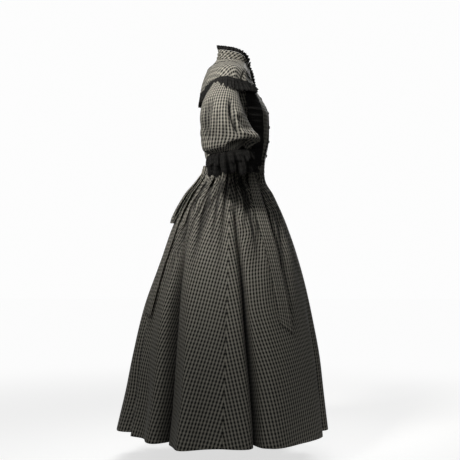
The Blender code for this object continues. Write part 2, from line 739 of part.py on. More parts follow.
def make_sash(check):
    shape = bmesh.new()
    bmesh.ops.create_uvsphere(shape, u_segments=KNOT_SIDES, v_segments=KNOT_RINGS, radius=1.0)
    back = off_torso(180.0, KNOT_Z, BAND_PROUD)[1]
    middle = back + SEAM + KNOT_HALF[1]
    for vertex in shape.verts:
        spot = vertex.co
        for axis in range(3):
            spot[axis] = math.copysign(abs(spot[axis]) ** KNOT_SQUARENESS, spot[axis]) * KNOT_HALF[axis]
        spot.y += middle
        spot.z += KNOT_Z
    mesh = bpy.data.meshes.new("sash_knot")
    shape.to_mesh(mesh)
    shape.free()
    mesh.materials.append(check)
    knot = bpy.data.objects.new("sash_knot", mesh)
    bpy.context.scene.collection.objects.link(knot)
    for side, way in (("right", 1), ("left", -1)):
        sash_strip(f"sash_loop_{side}", LOOP, way, 0.0, check)
        sash_strip(f"sash_tail_{side}", BACK_TAIL, way, BACK_TAIL_SLANT, check)
    sash_strip("sash_tail_front", FRONT_TAIL, 1, FRONT_TAIL_SLANT, check, columns=4)


def main():
    for old in list(bpy.data.objects):
        bpy.data.objects.remove(old, do_unlink=True)
    check = material("checked_cloth", CHECK_COLOUR, 0.75)
    lace = material("black_lace", LACE_COLOUR, 0.8)
    dark = material("dark_button", BUTTON_COLOUR, 0.35)
    placket = make_bodice(check)
    make_buttons(dark, placket)
    make_band(check)
    make_skirt(check)
    make_sleeves(check, lace)
    make_cape(check, lace)
    make_front_frills(lace)
    make_collar(check, lace)
    make_sash(check)


main()
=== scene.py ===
import math
from collections import namedtuple
from functools import partial

import bpy
import numpy as np
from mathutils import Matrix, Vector


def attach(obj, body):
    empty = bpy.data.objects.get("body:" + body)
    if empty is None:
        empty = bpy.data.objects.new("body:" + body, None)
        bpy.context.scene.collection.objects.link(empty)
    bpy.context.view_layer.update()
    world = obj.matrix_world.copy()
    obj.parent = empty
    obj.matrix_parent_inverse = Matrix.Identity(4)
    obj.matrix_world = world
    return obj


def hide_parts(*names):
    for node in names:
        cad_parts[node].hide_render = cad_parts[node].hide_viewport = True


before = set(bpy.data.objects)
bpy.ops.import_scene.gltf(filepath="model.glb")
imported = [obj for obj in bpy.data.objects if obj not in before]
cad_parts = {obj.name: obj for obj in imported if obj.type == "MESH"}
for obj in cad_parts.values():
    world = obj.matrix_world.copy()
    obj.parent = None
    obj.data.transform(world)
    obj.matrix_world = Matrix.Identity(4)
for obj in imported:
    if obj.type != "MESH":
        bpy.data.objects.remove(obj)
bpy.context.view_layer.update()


def table(fields, rows):
    """Rows of numbers with a name for each column."""
    row = namedtuple("Row", fields)
    return tuple(row(*values) for values in rows)


# Camera and light, in metres
CAMERA_AWAY = 3.87
CAMERA_Z = -0.5735
FRAME_WIDTH = 1.702
SENSOR = 36.0
FLOOR_Z = -1.42

# Cloth
SHELL = 0.0009
LACE_SHELL = 0.0007
SEAM = 0.0004
CLOTH = 0.0016

# The check's repeat across and along the cloth
CHECK_ACROSS = 0.0108
CHECK_DOWN = 0.0138

# Heights
BODICE_FOOT = -0.3357
BAND_TOP = -0.336
BAND_FOOT = -0.364
SKIRT_TOP = -0.3644
HEM = -1.304
UNDERARM = -0.131
BAND_PROUD = 0.0025

# The outline under the bodice at each height: distances forward, back and to each side
TORSO = table("z front back half", (
    (-0.372, 0.125, 0.087, 0.119),
    (-0.345, 0.125, 0.086, 0.118),
    (-0.322, 0.127, 0.086, 0.120),
    (-0.296, 0.132, 0.088, 0.126),
    (-0.259, 0.139, 0.092, 0.136),
    (-0.222, 0.142, 0.097, 0.146),
    (-0.185, 0.142, 0.101, 0.154),
    (-0.155, 0.141, 0.103, 0.159),
    (-0.130, 0.134, 0.104, 0.163),
    (-0.090, 0.112, 0.102, 0.170),
    (-0.050, 0.087, 0.098, 0.179),
    (-0.020, 0.080, 0.091, 0.178),
    (0.000, 0.076, 0.084, 0.166),
    (0.020, 0.068, 0.074, 0.124),
    (0.040, 0.060, 0.060, 0.078),
    (0.050, 0.055, 0.052, 0.063),
    (0.062, 0.050, 0.046, 0.056),
))
ROUNDNESS = 2.2

# The skirt's outer shape at each height
SKIRT = table("z front back half", (
    (-1.304, 0.3615, 0.417, 0.402),
    (-1.166, 0.347, 0.385, 0.380),
    (-1.047, 0.333, 0.3625, 0.358),
    (-0.855, 0.294, 0.316, 0.312),
    (-0.685, 0.252, 0.254, 0.262),
    (-0.548, 0.211, 0.200, 0.214),
    (-0.444, 0.166, 0.145, 0.166),
    (-0.395, 0.136, 0.107, 0.134),
    (-0.3644, 0.1275, 0.0895, 0.1215),
))

# Long folds of the skirt: where each leaves the waist and meets the hem, how far it rises or sinks at its
# fullest, its widths on both sides, the shares of the way down where it begins and is at its fullest, its
# part of the cloth that is tucked away, and whether its bottom is narrow. Angles turn from the front to
# the right side.
FOLDS = table("waist_deg hem_deg rise fore aft start full hides sharp", (
    (14.0, 16.0, -0.050, 0.034, 0.042, 0.30, 1.15, 1.0, False),
    (62.0, 67.0, 0.020, 0.080, 0.030, 0.20, 1.15, 0.0, False),
    (88.0, 76.5, -0.078, 0.010, 0.014, 0.01, 0.55, 0.4, True),
    (95.0, 94.0, -0.012, 0.050, 0.050, 0.30, 1.15, 0.0, False),
    (128.0, 112.0, 0.052, 0.050, 0.034, 0.20, 1.15, 0.0, False),
    (150.0, 128.0, -0.074, 0.040, 0.012, 0.02, 0.62, 1.0, True),
    (156.0, 146.0, -0.045, 0.060, 0.070, 0.25, 1.15, 0.0, False),
    (168.0, 162.0, -0.085, 0.030, 0.036, 0.30, 1.15, 0.7, False),
    (196.0, 200.0, -0.090, 0.036, 0.030, 0.30, 1.15, 0.7, False),
    (214.0, 222.0, 0.020, 0.050, 0.050, 0.25, 1.15, 0.0, False),
    (208.0, 236.0, -0.102, 0.030, 0.016, 0.02, 0.66, 1.0, True),
    (232.0, 252.0, 0.045, 0.036, 0.050, 0.20, 1.15, 0.0, False),
    (269.0, 279.0, -0.078, 0.014, 0.010, 0.01, 0.60, 0.4, True),
    (296.0, 300.0, 0.018, 0.050, 0.060, 0.25, 1.15, 0.0, False),
    (318.0, 316.0, -0.055, 0.030, 0.030, 0.25, 1.15, 0.3, False),
    (345.0, 340.0, -0.040, 0.036, 0.036, 0.35, 1.15, 1.0, False),
))

# Grooves that fade before the hem: their angles at the waist and where they end, depth, width and reach
GROOVES = table("waist_deg foot_deg depth width start end", (
    (47.5, 45.5, 0.036, 0.0100, 0.01, 0.66),
    (74.0, 66.0, 0.010, 0.0070, 0.01, 0.40),
    (104.0, 106.0, 0.010, 0.0065, 0.01, 0.34),
    (119.0, 121.0, 0.014, 0.0075, 0.01, 0.42),
    (141.0, 143.0, 0.016, 0.0080, 0.01, 0.46),
    (170.0, 172.0, 0.012, 0.0090, 0.05, 0.50),
    (190.0, 187.0, 0.014, 0.0090, 0.05, 0.55),
    (226.0, 222.0, 0.014, 0.0080, 0.01, 0.44),
    (249.0, 247.0, 0.012, 0.0070, 0.01, 0.36),
    (286.0, 290.0, 0.011, 0.0070, 0.01, 0.38),
    (304.0, 311.0, 0.030, 0.0085, 0.02, 0.62),
    (332.0, 334.0, 0.012, 0.0080, 0.02, 0.45),
    (22.0, 24.0, 0.012, 0.0080, 0.02, 0.48),
))
SEAM_WAIST_DEG = 90.0
SEAM_HEM_DEG = 94.0
GATHERS_PER_PANEL = 14

# The skirt's cut: two panels, each a piece of a ring, gathered at the top
PANEL_HALF_ANGLE = 0.236
PANEL_TOP_RADIUS = 2.08
PANEL_LENGTH = 0.985

# The armhole, an ellipse seen from the side
ARMHOLE_Y = 0.012
ARMHOLE_Z = -0.068
ARMHOLE_DEPTH = 0.046
ARMHOLE_RISE = 0.063

# The right sleeve's rings: centre, half lengths to the front and outward, each with its rise
RING = "x y z front front_rise outer outer_rise"
SLEEVE = table(RING, (
    (-0.186, 0.016, -0.078, 0.049, 0.000, 0.013, 0.042),
    (-0.207, 0.027, -0.112, 0.061, 0.000, 0.032, 0.032),
    (-0.228, 0.0285, -0.144, 0.0715, 0.000, 0.055, 0.027),
    (-0.244, 0.024, -0.183, 0.082, 0.000, 0.075, 0.017),
    (-0.250, 0.011, -0.224, 0.093, -0.004, 0.082, 0.006),
    (-0.250, -0.001, -0.256, 0.1045, -0.008, 0.081, 0.000),
    (-0.247, 0.000, -0.286, 0.093, 0.014, 0.077, 0.000),
    (-0.243, 0.000, -0.302, 0.070, 0.010, 0.058, 0.000),
))
SLEEVE_WIDTH = 0.56
SLEEVE_CHECK_SHARE = 1.24
SLEEVE_TWIST = 0.22
CUFF = table(RING, (
    (-0.243, 0.000, -0.3025, 0.070, 0.010, 0.058, 0.000),
    (-0.242, -0.003, -0.334, 0.080, 0.014, 0.070, 0.000),
    (-0.240, -0.008, -0.364, 0.083, 0.012, 0.070, 0.000),
))

# The cape's edges, from its front corner to the centre back
CAPE = table("along inner_deg inner_z outer_deg outer_z stand lace_stand", (
    (0.00, 22.0, -0.040, 22.0, -0.052, 0.007, 0.008),
    (0.12, 38.0, -0.026, 42.0, -0.049, 0.009, 0.014),
    (0.26, 56.0, 0.004, 64.0, -0.045, 0.012, 0.026),
    (0.38, 75.0, 0.026, 82.0, -0.043, 0.024, 0.050),
    (0.50, 91.0, 0.033, 93.0, -0.036, 0.036, 0.062),
    (0.60, 108.0, 0.031, 107.0, -0.041, 0.033, 0.052),
    (0.72, 130.0, 0.025, 128.0, -0.056, 0.017, 0.024),
    (0.86, 155.0, 0.014, 155.0, -0.072, 0.008, 0.011),
    (1.00, 180.0, 0.008, 180.0, -0.080, 0.007, 0.010),
))
CAPE_LIFT = 0.0045
CAPE_LACE_DROP = 0.040

# The seam of the frills that run from the cape's front corners to the waist
FRILL = table("z seam_deg width stand", (
    (-0.341, 28.5, 0.046, 0.0074),
    (-0.334, 29.0, 0.050, 0.0074),
    (-0.280, 32.0, 0.062, 0.0085),
    (-0.220, 35.0, 0.074, 0.0090),
    (-0.170, 36.0, 0.086, 0.0090),
    (-0.130, 36.0, 0.092, 0.0095),
    (-0.095, 34.0, 0.094, 0.0085),
    (-0.066, 29.0, 0.080, 0.0055),
))
FRILL_LIFT = 0.0032

# Neck, collar and placket
NECK_FRONT_Z = 0.022
NECK_SIDE_Z = 0.050
NECK_BACK_Z = 0.055
COLLAR_FRONT_HEIGHT = 0.021
COLLAR_BACK_HEIGHT = 0.038
COLLAR_LEAN = 0.006
COLLAR_LACE_HEIGHT = 0.014
PLACKET_HALF = 0.016
BUTTON_RADIUS = 0.0055
BUTTON_DEPTH = 0.0034
BUTTON_FIRST_Z = -0.300
BUTTON_PITCH = 0.053
BUTTON_COUNT = 7
BUTTON_SIDES = 40
BUTTON_SEAT = 0.0004
# The button's profile: shares of its radius and depth, from the middle of its foot to that of its top
BUTTON_PROFILE = (
    (0.0, 0.0), (0.92, 0.0), (1.0, 0.22), (0.97, 0.62), (0.86, 0.92),
    (0.70, 1.0), (0.55, 0.90), (0.28, 0.82), (0.0, 0.80),
)

# The sash: its knot, and its strips as centre angle, half width and distance off the skirt at each height
KNOT_HALF = (0.022, 0.0068, 0.0150)
KNOT_Z = -0.3500
STRIP = "z out deg half"
LOOP = table(STRIP, (
    (-0.3480, 0.0080, 5.0, 0.0100),
    (-0.3750, 0.0100, 9.4, 0.0145),
    (-0.4100, 0.0125, 11.2, 0.0210),
    (-0.4500, 0.0145, 11.6, 0.0270),
    (-0.5000, 0.0150, 11.2, 0.0300),
    (-0.5350, 0.0160, 10.8, 0.0310),
    (-0.5480, 0.0190, 10.6, 0.0310),
    (-0.5350, 0.0225, 10.8, 0.0310),
    (-0.5000, 0.0245, 11.2, 0.0300),
    (-0.4500, 0.0240, 11.6, 0.0270),
    (-0.4100, 0.0215, 11.2, 0.0210),
    (-0.3750, 0.0165, 9.4, 0.0145),
    (-0.3480, 0.0110, 5.0, 0.0100),
))
BACK_TAIL = table(STRIP, (
    (-0.3520, 0.0030, 5.0, 0.0100),
    (-0.3900, 0.0058, 11.0, 0.018),
    (-0.4500, 0.0060, 14.0, 0.028),
    (-0.5300, 0.0062, 17.0, 0.031),
    (-0.6200, 0.0064, 20.0, 0.031),
    (-0.7100, 0.0066, 22.0, 0.031),
    (-0.7950, 0.0068, 24.0, 0.031),
    (-0.8750, 0.0070, 25.0, 0.031),
))
BACK_TAIL_SLANT = 0.004
FRONT_TAIL = table(STRIP, (
    (-0.3440, 0.0060, 128.0, 0.011),
    (-0.3640, 0.0064, 127.0, 0.013),
    (-0.3950, 0.0066, 125.5, 0.018),
    (-0.4600, 0.0064, 122.5, 0.022),
    (-0.5500, 0.0066, 123.2, 0.025),
    (-0.6500, 0.0068, 125.2, 0.026),
    (-0.7500, 0.0070, 126.4, 0.027),
    (-0.8400, 0.0072, 127.0, 0.027),
    (-0.9150, 0.0074, 127.0, 0.027),
))
FRONT_TAIL_SLANT = 0.018
SASH_WIDTH = 0.062
SASH_ACROSS = 21
SASH_ROWS_PER_SPAN = 7

# The cuts, as width and length
FRONT_LACE_WIDTH = 0.085
KNOT_CUT = (0.07, 0.05)

SIDES = (("right", 1), ("left", -1))
UP = np.array([0.0, 0.0, 1.0])


def cubic(f, step, low, high, low_slope, high_slope):
    """Values between two points, from their heights and slopes."""
    start = (1 + 2 * f) * (1 - f) ** 2 * low + f * (1 - f) ** 2 * step * low_slope
    end = f * f * (3 - 2 * f) * high + f * f * (f - 1) * step * high_slope
    return start + end


def hermite(keys, values, at):
    """Values read between keys with no overshoot."""
    keys, values, at = (np.asarray(part, float) for part in (keys, values, at))
    steps = np.diff(keys)
    rates = np.diff(values) / steps
    before, after = rates[:-1], rates[1:]
    same = before * after > 0
    inner = np.where(same, 2 * before * after / np.where(same, before + after, 1.0), 0.0)
    slopes = np.concatenate([rates[:1], inner, rates[-1:]])
    i = np.clip(np.searchsorted(keys, at) - 1, 0, len(keys) - 2)
    f = np.clip((at - keys[i]) / steps[i], 0.0, 1.0)
    return cubic(f, steps[i], values[i], values[i + 1], slopes[i], slopes[i + 1])


def read(rows, name, at):
    """One column of a table, read between its rows by its first column."""
    return hermite([row[0] for row in rows], [getattr(row, name) for row in rows], at)


def sine(turns):
    return np.sin(2 * math.pi * turns)


def unit(vectors):
    return vectors / np.maximum(np.linalg.norm(vectors, axis=-1, keepdims=True), 1e-9)


def ease(value):
    value = np.clip(value, 0.0, 1.0)
    return value * value * (3 - 2 * value)


def bump_at(value, middle, width):
    return np.exp(-(((value - middle) / width) ** 2))


def cleft_at(value, middle, width):
    """A fold with rounded lips and a narrow bottom."""
    return np.exp(-1.25 * (np.sqrt(((value - middle) / width) ** 2 + 0.03) - 0.17))


def lengths_along(grid, axis):
    """Distances from the first point of each line of a grid, along one of its axes."""
    steps = np.linalg.norm(np.diff(grid, axis=axis), axis=-1)
    total = np.cumsum(steps, axis=axis)
    start = np.zeros_like(np.take(total, [0], axis=axis))
    return np.concatenate([start, total], axis=axis)


def sheet_normals(grid, closed):
    """Normals of a grid whose rows run upward and whose columns run from the front to the right side."""
    if closed:
        across = np.roll(grid, -1, axis=1) - np.roll(grid, 1, axis=1)
    else:
        across = np.gradient(grid, axis=1)
    return unit(np.cross(np.gradient(grid, axis=0), across))


def grid_faces(rows, columns, closed):
    """The corners of a grid's faces, as numbers of its points."""
    last = columns if closed else columns - 1
    i, j = np.meshgrid(np.arange(rows - 1), np.arange(last), indexing="ij")
    low, high, after = i * columns, (i + 1) * columns, (j + 1) % columns
    return np.stack([low + j, low + after, high + after, high + j], axis=-1).reshape(-1, 4)


def shown(name, mesh, finish, nodes):
    """An object of this mesh on the dress's one body, in the place of the solids named."""
    mesh.materials.append(finish)
    made = bpy.data.objects.new(name, mesh)
    bpy.context.scene.collection.objects.link(made)
    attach(made, "root")
    if nodes:
        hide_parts(*nodes)
    return made


def cloth(name, grid, flat, finish, nodes, closed=False, thickness=SHELL, slot="checked_cloth", deep=None):
    """A thin shell of cloth under a grid of outer points, with its cut's own coordinates in metres."""
    grid = np.asarray(grid, float)
    flat = np.asarray(flat, float)
    rows, columns = grid.shape[:2]
    corners = grid_faces(rows, columns, closed)[:, ::-1]
    places = grid_faces(rows, flat.shape[1], False)[:, ::-1]
    mesh = bpy.data.meshes.new(name)
    mesh.vertices.add(rows * columns)
    mesh.vertices.foreach_set("co", grid.reshape(-1))
    mesh.loops.add(corners.size)
    mesh.loops.foreach_set("vertex_index", corners.reshape(-1))
    mesh.polygons.add(len(corners))
    mesh.polygons.foreach_set("loop_start", np.arange(0, corners.size, 4))
    mesh.polygons.foreach_set("loop_total", np.full(len(corners), 4))
    mesh.update(calc_edges=True)
    layer = mesh.uv_layers.new(name="cut")
    layer.data.foreach_set("uv", flat.reshape(-1, 2)[places.reshape(-1)].reshape(-1))
    mesh.polygons.foreach_set("use_smooth", np.ones(len(corners), bool))
    # Painted shade: depths of folds and creases stored on the points, for the check material to darken the
    # colour there
    if deep is not None:
        depth = mesh.attributes.new("fold_painted_shade", "FLOAT", "POINT")
        depth.data.foreach_set("value", np.asarray(deep, float).reshape(-1))
    made = shown(name, mesh, finish, nodes)
    solidify = made.modifiers.new("cloth", "SOLIDIFY")
    solidify.thickness = thickness
    solidify.offset = -1.0
    return made


def on_side(flip, *grids):
    """Grids and cuts of the right side, or their copies at the left, which still face outward."""
    made = []
    for grid in grids:
        grid = np.array(grid)
        if flip < 0:
            grid[..., 0] *= -1
            grid = grid[:, ::-1]
        made.append(grid)
    return made


def depth_at(rows, front, z):
    """How far an outline reaches forward or back at these heights."""
    return np.where(front, read(rows, "front", z), read(rows, "back", z))


def around(turn, radius, z):
    """Points at a distance from the dress's middle, turned from the front to the right side."""
    heights = np.broadcast_to(z, radius.shape)
    return np.stack([-radius * np.sin(turn), -radius * np.cos(turn), heights], axis=-1)


def torso(deg, z):
    deg, z = np.broadcast_arrays(np.asarray(deg, float), np.asarray(z, float))
    turn = np.radians(deg)
    side = np.sin(turn)
    ahead = np.cos(turn)
    depth = depth_at(TORSO, ahead > 0, z)
    half = read(TORSO, "half", z)
    power = 2 / ROUNDNESS
    x = -half * np.copysign(np.abs(side) ** power, side)
    y = -depth * np.copysign(np.abs(ahead) ** power, ahead)
    return np.stack([x, y, z], axis=-1)


def torso_normal(deg, z):
    deg, z = np.broadcast_arrays(np.asarray(deg, float), np.asarray(z, float))
    turned = torso(deg + 1.5, z) - torso(deg - 1.5, z)
    raised = torso(deg, np.minimum(z + 0.004, 0.061)) - torso(deg, z - 0.004)
    return unit(np.cross(raised, turned))


def off_torso(deg, z, out):
    return torso(deg, z) + torso_normal(deg, z) * np.asarray(out, float)[..., None]


def neck_z(deg):
    side = np.abs(np.sin(np.radians(deg)))
    front = NECK_FRONT_Z + (NECK_SIDE_Z - NECK_FRONT_Z) * side ** 0.8
    back = NECK_BACK_Z + (NECK_SIDE_Z - NECK_BACK_Z) * side
    return np.where(np.cos(np.radians(deg)) > 0, front, back)


def deg_of_x(x, z):
    return np.degrees(np.arcsin((x / read(TORSO, "half", z)) ** (ROUNDNESS / 2)))


def armhole_edge(z, back):
    """The angle of the armhole's edge at these heights."""
    level = (z - ARMHOLE_Z) / ARMHOLE_RISE
    reach = ARMHOLE_DEPTH * np.sqrt(np.maximum(0.0, 1 - level * level))
    y = ARMHOLE_Y + (reach if back else -reach)
    depth = depth_at(TORSO, y <= 0, z)
    share = (np.abs(y) / depth) ** (ROUNDNESS / 2)
    return 90.0 + np.copysign(np.degrees(np.arcsin(share)), y)


def join(tree, socket, value):
    """A link to a socket, or a constant on it."""
    if isinstance(value, (int, float, tuple)):
        socket.default_value = value
    else:
        tree.links.new(value, socket)


def preset(node, **values):
    """Constants on a node's own sockets, whose names have _ for each space."""
    for name, value in values.items():
        node.inputs[name.replace("_", " ")].default_value = value
    return node


def node_math(tree, operation, *values, clamp=False):
    node = tree.nodes.new("ShaderNodeMath")
    node.operation = operation
    node.use_clamp = clamp
    for socket, value in zip(node.inputs, values):
        join(tree, socket, value)
    return node.outputs[0]


def node_mix(tree, share, first, second):
    node = tree.nodes.new("ShaderNodeMix")
    node.data_type = "RGBA"
    for number, value in ((0, share), (6, first), (7, second)):
        join(tree, node.inputs[number], value)
    return node.outputs[2]


def node_noise(tree, where, scale, detail=2.0, roughness=0.5):
    node = preset(tree.nodes.new("ShaderNodeTexNoise"), Scale=scale, Detail=detail, Roughness=roughness)
    tree.links.new(where, node.inputs["Vector"])
    return node.outputs["Fac"]


def stretched(tree, where, scale):
    node = preset(tree.nodes.new("ShaderNodeMapping"), Scale=scale)
    tree.links.new(where, node.inputs["Vector"])
    return node.outputs["Vector"]


def ripple(tree, place, pitch):
    return node_math(tree, "SINE", node_math(tree, "MULTIPLY", place, math.pi / pitch))


def bands(tree, place, repeat, light_share, softness):
    """1 in the light bands of a stripe and 0 in its dark ones, with softly blended edges."""
    turn = node_math(tree, "FRACT", node_math(tree, "DIVIDE", place, repeat))
    from_middle = node_math(tree, "ABSOLUTE", node_math(tree, "SUBTRACT", turn, 0.5))
    node = tree.nodes.new("ShaderNodeMapRange")
    node.interpolation_type = "SMOOTHSTEP"
    tree.links.new(from_middle, node.inputs["Value"])
    edge = light_share / 2
    preset(node, From_Min=edge - softness, From_Max=edge + softness, To_Min=1.0, To_Max=0.0)
    return node.outputs["Result"]


def new_material(name):
    made = bpy.data.materials.new(name)
    made.use_nodes = True
    tree = made.node_tree
    return made, tree, tree.nodes["Principled BSDF"]


def cut_places(tree):
    """The cut's own coordinates, together and apart."""
    cut = tree.nodes.new("ShaderNodeUVMap")
    cut.uv_map = "cut"
    split = tree.nodes.new("ShaderNodeSeparateXYZ")
    tree.links.new(cut.outputs["UV"], split.inputs[0])
    return cut.outputs["UV"], split.outputs[0], split.outputs[1]


def add_bump(tree, shader, height, strength, distance):
    bump = preset(tree.nodes.new("ShaderNodeBump"), Strength=strength, Distance=distance)
    tree.links.new(height, bump.inputs["Height"])
    tree.links.new(bump.outputs["Normal"], shader.inputs["Normal"])


LIGHT_THREAD = (0.450, 0.425, 0.360, 1.0)
DARK_THREAD = (0.0100, 0.0096, 0.0086, 1.0)
THREAD = 0.00060
THREAD_RELIEF = 0.00008
CRUMPLE_RELIEF = 0.0022
# The share of its colour that painted shade takes off at the bottom of a deep fold
PAINTED_FOLD_SHADE = 0.80


def check_material():
    """A woven check: light and dark bands of warp and weft, with fine threads over and under, and painted
    shade that darkens its colour at the bottoms of folds and creases.
    """
    made, tree, shader = new_material("checked_cotton")
    do = partial(node_math, tree)
    where, across, along = cut_places(tree)
    warp = bands(tree, across, CHECK_ACROSS, 0.46, 0.03)
    weft = bands(tree, along, CHECK_DOWN, 0.44, 0.03)
    over = do("MULTIPLY", ripple(tree, across, THREAD), ripple(tree, along, THREAD))
    share = do("MULTIPLY_ADD", over, 0.10, 0.70)
    light = do("ADD", do("MULTIPLY", warp, share), do("MULTIPLY", weft, do("SUBTRACT", 1.0, share)))
    slub_warp = node_noise(tree, stretched(tree, where, (1400.0, 60.0, 1.0)), 1.0)
    slub_weft = node_noise(tree, stretched(tree, where, (60.0, 1400.0, 1.0)), 1.0)
    slub = do("ADD", slub_warp, slub_weft)
    cloudy = node_noise(tree, where, 14.0, 3.0)
    uneven = do("ADD", do("MULTIPLY_ADD", slub, 0.14, -0.14), do("MULTIPLY_ADD", cloudy, 0.16, -0.08))
    lit = do("MULTIPLY", light, do("ADD", uneven, 1.0), clamp=True)
    # Painted shade: the colour darkens by a point attribute that marks how deep the cloth lies in a fold or
    # crease
    depth = tree.nodes.new("ShaderNodeAttribute")
    depth.attribute_name = "fold_painted_shade"
    after_painted_shade = do("MULTIPLY_ADD", depth.outputs["Fac"], -PAINTED_FOLD_SHADE, 1.0)
    colour = node_mix(tree, do("MULTIPLY", lit, after_painted_shade), DARK_THREAD, LIGHT_THREAD)
    tree.links.new(colour, shader.inputs["Base Color"])
    tree.links.new(do("MULTIPLY_ADD", cloudy, 0.10, 0.70), shader.inputs["Roughness"])
    preset(shader, Specular_IOR_Level=0.30, Sheen_Weight=0.10, Sheen_Roughness=0.45)
    threads = do("MULTIPLY", do("ABSOLUTE", over), THREAD_RELIEF)
    crumple = do("MULTIPLY", node_noise(tree, where, 32.0, 3.0, 0.45), CRUMPLE_RELIEF)
    add_bump(tree, shader, do("ADD", threads, crumple), 0.55, 1.0)
    return made


LACE_DARK = (0.0044, 0.0043, 0.0041, 1.0)
LACE_THREAD = (0.0400, 0.0385, 0.0360, 1.0)
MESH_PITCH = 0.0024
SPRIG_PITCH = 0.012


def lace_material():
    """Dark, dull lace: a fine net with thicker sprigs, and light caught on its threads."""
    made, tree, shader = new_material("black_lace_net")
    do = partial(node_math, tree)
    where, across, along = cut_places(tree)

    def crossed(first, second, pitch):
        return do("MULTIPLY", *(do("ABSOLUTE", ripple(tree, place, pitch)) for place in (first, second)))

    hole = crossed(do("ADD", across, along), do("SUBTRACT", across, along), MESH_PITCH)
    sprig = do("GREATER_THAN", crossed(across, along, SPRIG_PITCH), 0.62)
    thread = do("MAXIMUM", do("SUBTRACT", 1.0, hole), sprig)
    fuzz = do("MULTIPLY_ADD", node_noise(tree, where, 420.0, 3.0, 0.6), 1.1, 0.10)
    lit = do("MULTIPLY", do("POWER", thread, 2.0), fuzz, clamp=True)
    tree.links.new(node_mix(tree, lit, LACE_DARK, LACE_THREAD), shader.inputs["Base Color"])
    preset(shader, Roughness=0.82, Specular_IOR_Level=0.12, Sheen_Weight=0.02, Sheen_Roughness=0.5)
    add_bump(tree, shader, thread, 0.8, 0.0006)
    return made


BUTTON_DARK = (0.006, 0.006, 0.006, 1.0)
BUTTON_LIGHT = (0.022, 0.020, 0.018, 1.0)


def button_material():
    made, tree, shader = new_material("dark_button_polish")
    spot = tree.nodes.new("ShaderNodeTexCoord")
    grain = node_noise(tree, spot.outputs["Object"], 900.0, 3.0)
    tree.links.new(node_mix(tree, grain, BUTTON_DARK, BUTTON_LIGHT), shader.inputs["Base Color"])
    tree.links.new(node_math(tree, "MULTIPLY_ADD", grain, 0.18, 0.22), shader.inputs["Roughness"])
    return made


def down(z):
    return (SKIRT_TOP - z) / (SKIRT_TOP - HEM)


def hull_radius(deg, z):
    turn = np.radians(deg)
    depth = depth_at(SKIRT, np.cos(turn) > 0, z)
    return 1 / np.hypot(np.cos(turn) / depth, np.sin(turn) / read(SKIRT, "half", z))


def turned_from(deg, waist_deg, foot_deg, part):
    """The angle from a fold's line, which leaves the waist aslant and falls ever straighter."""
    middle = waist_deg + (foot_deg - waist_deg) * (1 - (1 - part) ** 2)
    return (deg - middle + 180) % 360 - 180


def fold_rises(deg, z, radius):
    """How far the folds raise or sink the skirt here, how much cloth they hide, and how much shade is
    painted into their bottoms.
    """
    low = down(z)
    total, hidden, deep = (np.zeros_like(deg) for _ in range(3))
    for fold in FOLDS:
        turned = turned_from(deg, fold.waist_deg, fold.hem_deg, low)
        width = np.where(turned < 0, fold.fore, fold.aft) * (0.45 + 0.55 * low)
        share = (cleft_at if fold.sharp else bump_at)(np.radians(turned) * radius, 0.0, width)
        grown = ease((low - fold.start) / (fold.full - fold.start))
        total += fold.rise * share * grown
        hidden += fold.hides * share
        # Painted shade in the bottom of a sharp fold
        if fold.sharp:
            deep = np.maximum(deep, share * grown)
    for groove in GROOVES:
        part = np.clip((low - groove.start) / (groove.end - groove.start), 0.0, 1.0)
        turned = turned_from(deg, groove.waist_deg, groove.foot_deg, part)
        strength = ease(part / 0.12) * (1 - ease((part - 0.35) / 0.65))
        width = groove.width * (0.8 + 0.7 * part)
        share = cleft_at(np.radians(turned) * radius, 0.0, width * 0.8)
        total -= groove.depth * strength * share
        # Painted shade in the bottom of a groove
        deep = np.maximum(deep, share * strength)
    return total, hidden, deep


# The waist gathers of a panel: place across it as a share, depth, reach down as a share, and width
Gather = namedtuple("Gather", "place depth reach width")
# The least and most of depth, reach and width
DEEP_GATHER = ((0.018, 0.030), (0.15, 0.36), (0.009, 0.013))
SMALL_GATHER = ((0.009, 0.016), (0.07, 0.20), (0.006, 0.009))


def gathers_of(seed):
    rng = np.random.default_rng(seed)
    made = []
    for k in range(GATHERS_PER_PANEL):
        place = (k + 0.5 + rng.uniform(-0.18, 0.18)) / GATHERS_PER_PANEL
        sizes = [rng.uniform(*ends) for ends in DEEP_GATHER]
        made.append(Gather(place, *sizes))
        if rng.uniform() < 0.8:
            half = place + (0.5 + rng.uniform(-0.1, 0.1)) / GATHERS_PER_PANEL
            sizes = [rng.uniform(*ends) for ends in SMALL_GATHER]
            made.append(Gather(half, *sizes))
    return made


def gather_sink(share, low, gathers):
    """How far the gathers sink the cloth, and how closely it is packed in them."""
    total = np.zeros_like(share)
    packed = np.zeros_like(share)
    for gather in gathers:
        spread = gather.width * (1 + 0.6 * low / gather.reach)
        fade = math.exp(-((low / gather.reach) ** 2)) * (0.45 + 0.55 * float(ease(low / 0.03)))
        total += gather.depth * fade * cleft_at(share, gather.place, spread)
        packed += gather.depth * fade * bump_at(share, gather.place, spread * 0.8)
    return total, packed


SKIRT_ROWS = 96
SKIRT_COLUMNS = 400
SKIRT_DENSE = 2600
# The sink of a gather at which the shade painted into it is full
GATHER_FULL_DEPTH = 0.022


def running_sum(values, along):
    steps = (values[1:] + values[:-1]) / 2 * np.diff(along)
    return np.concatenate([[0.0], np.cumsum(steps)])


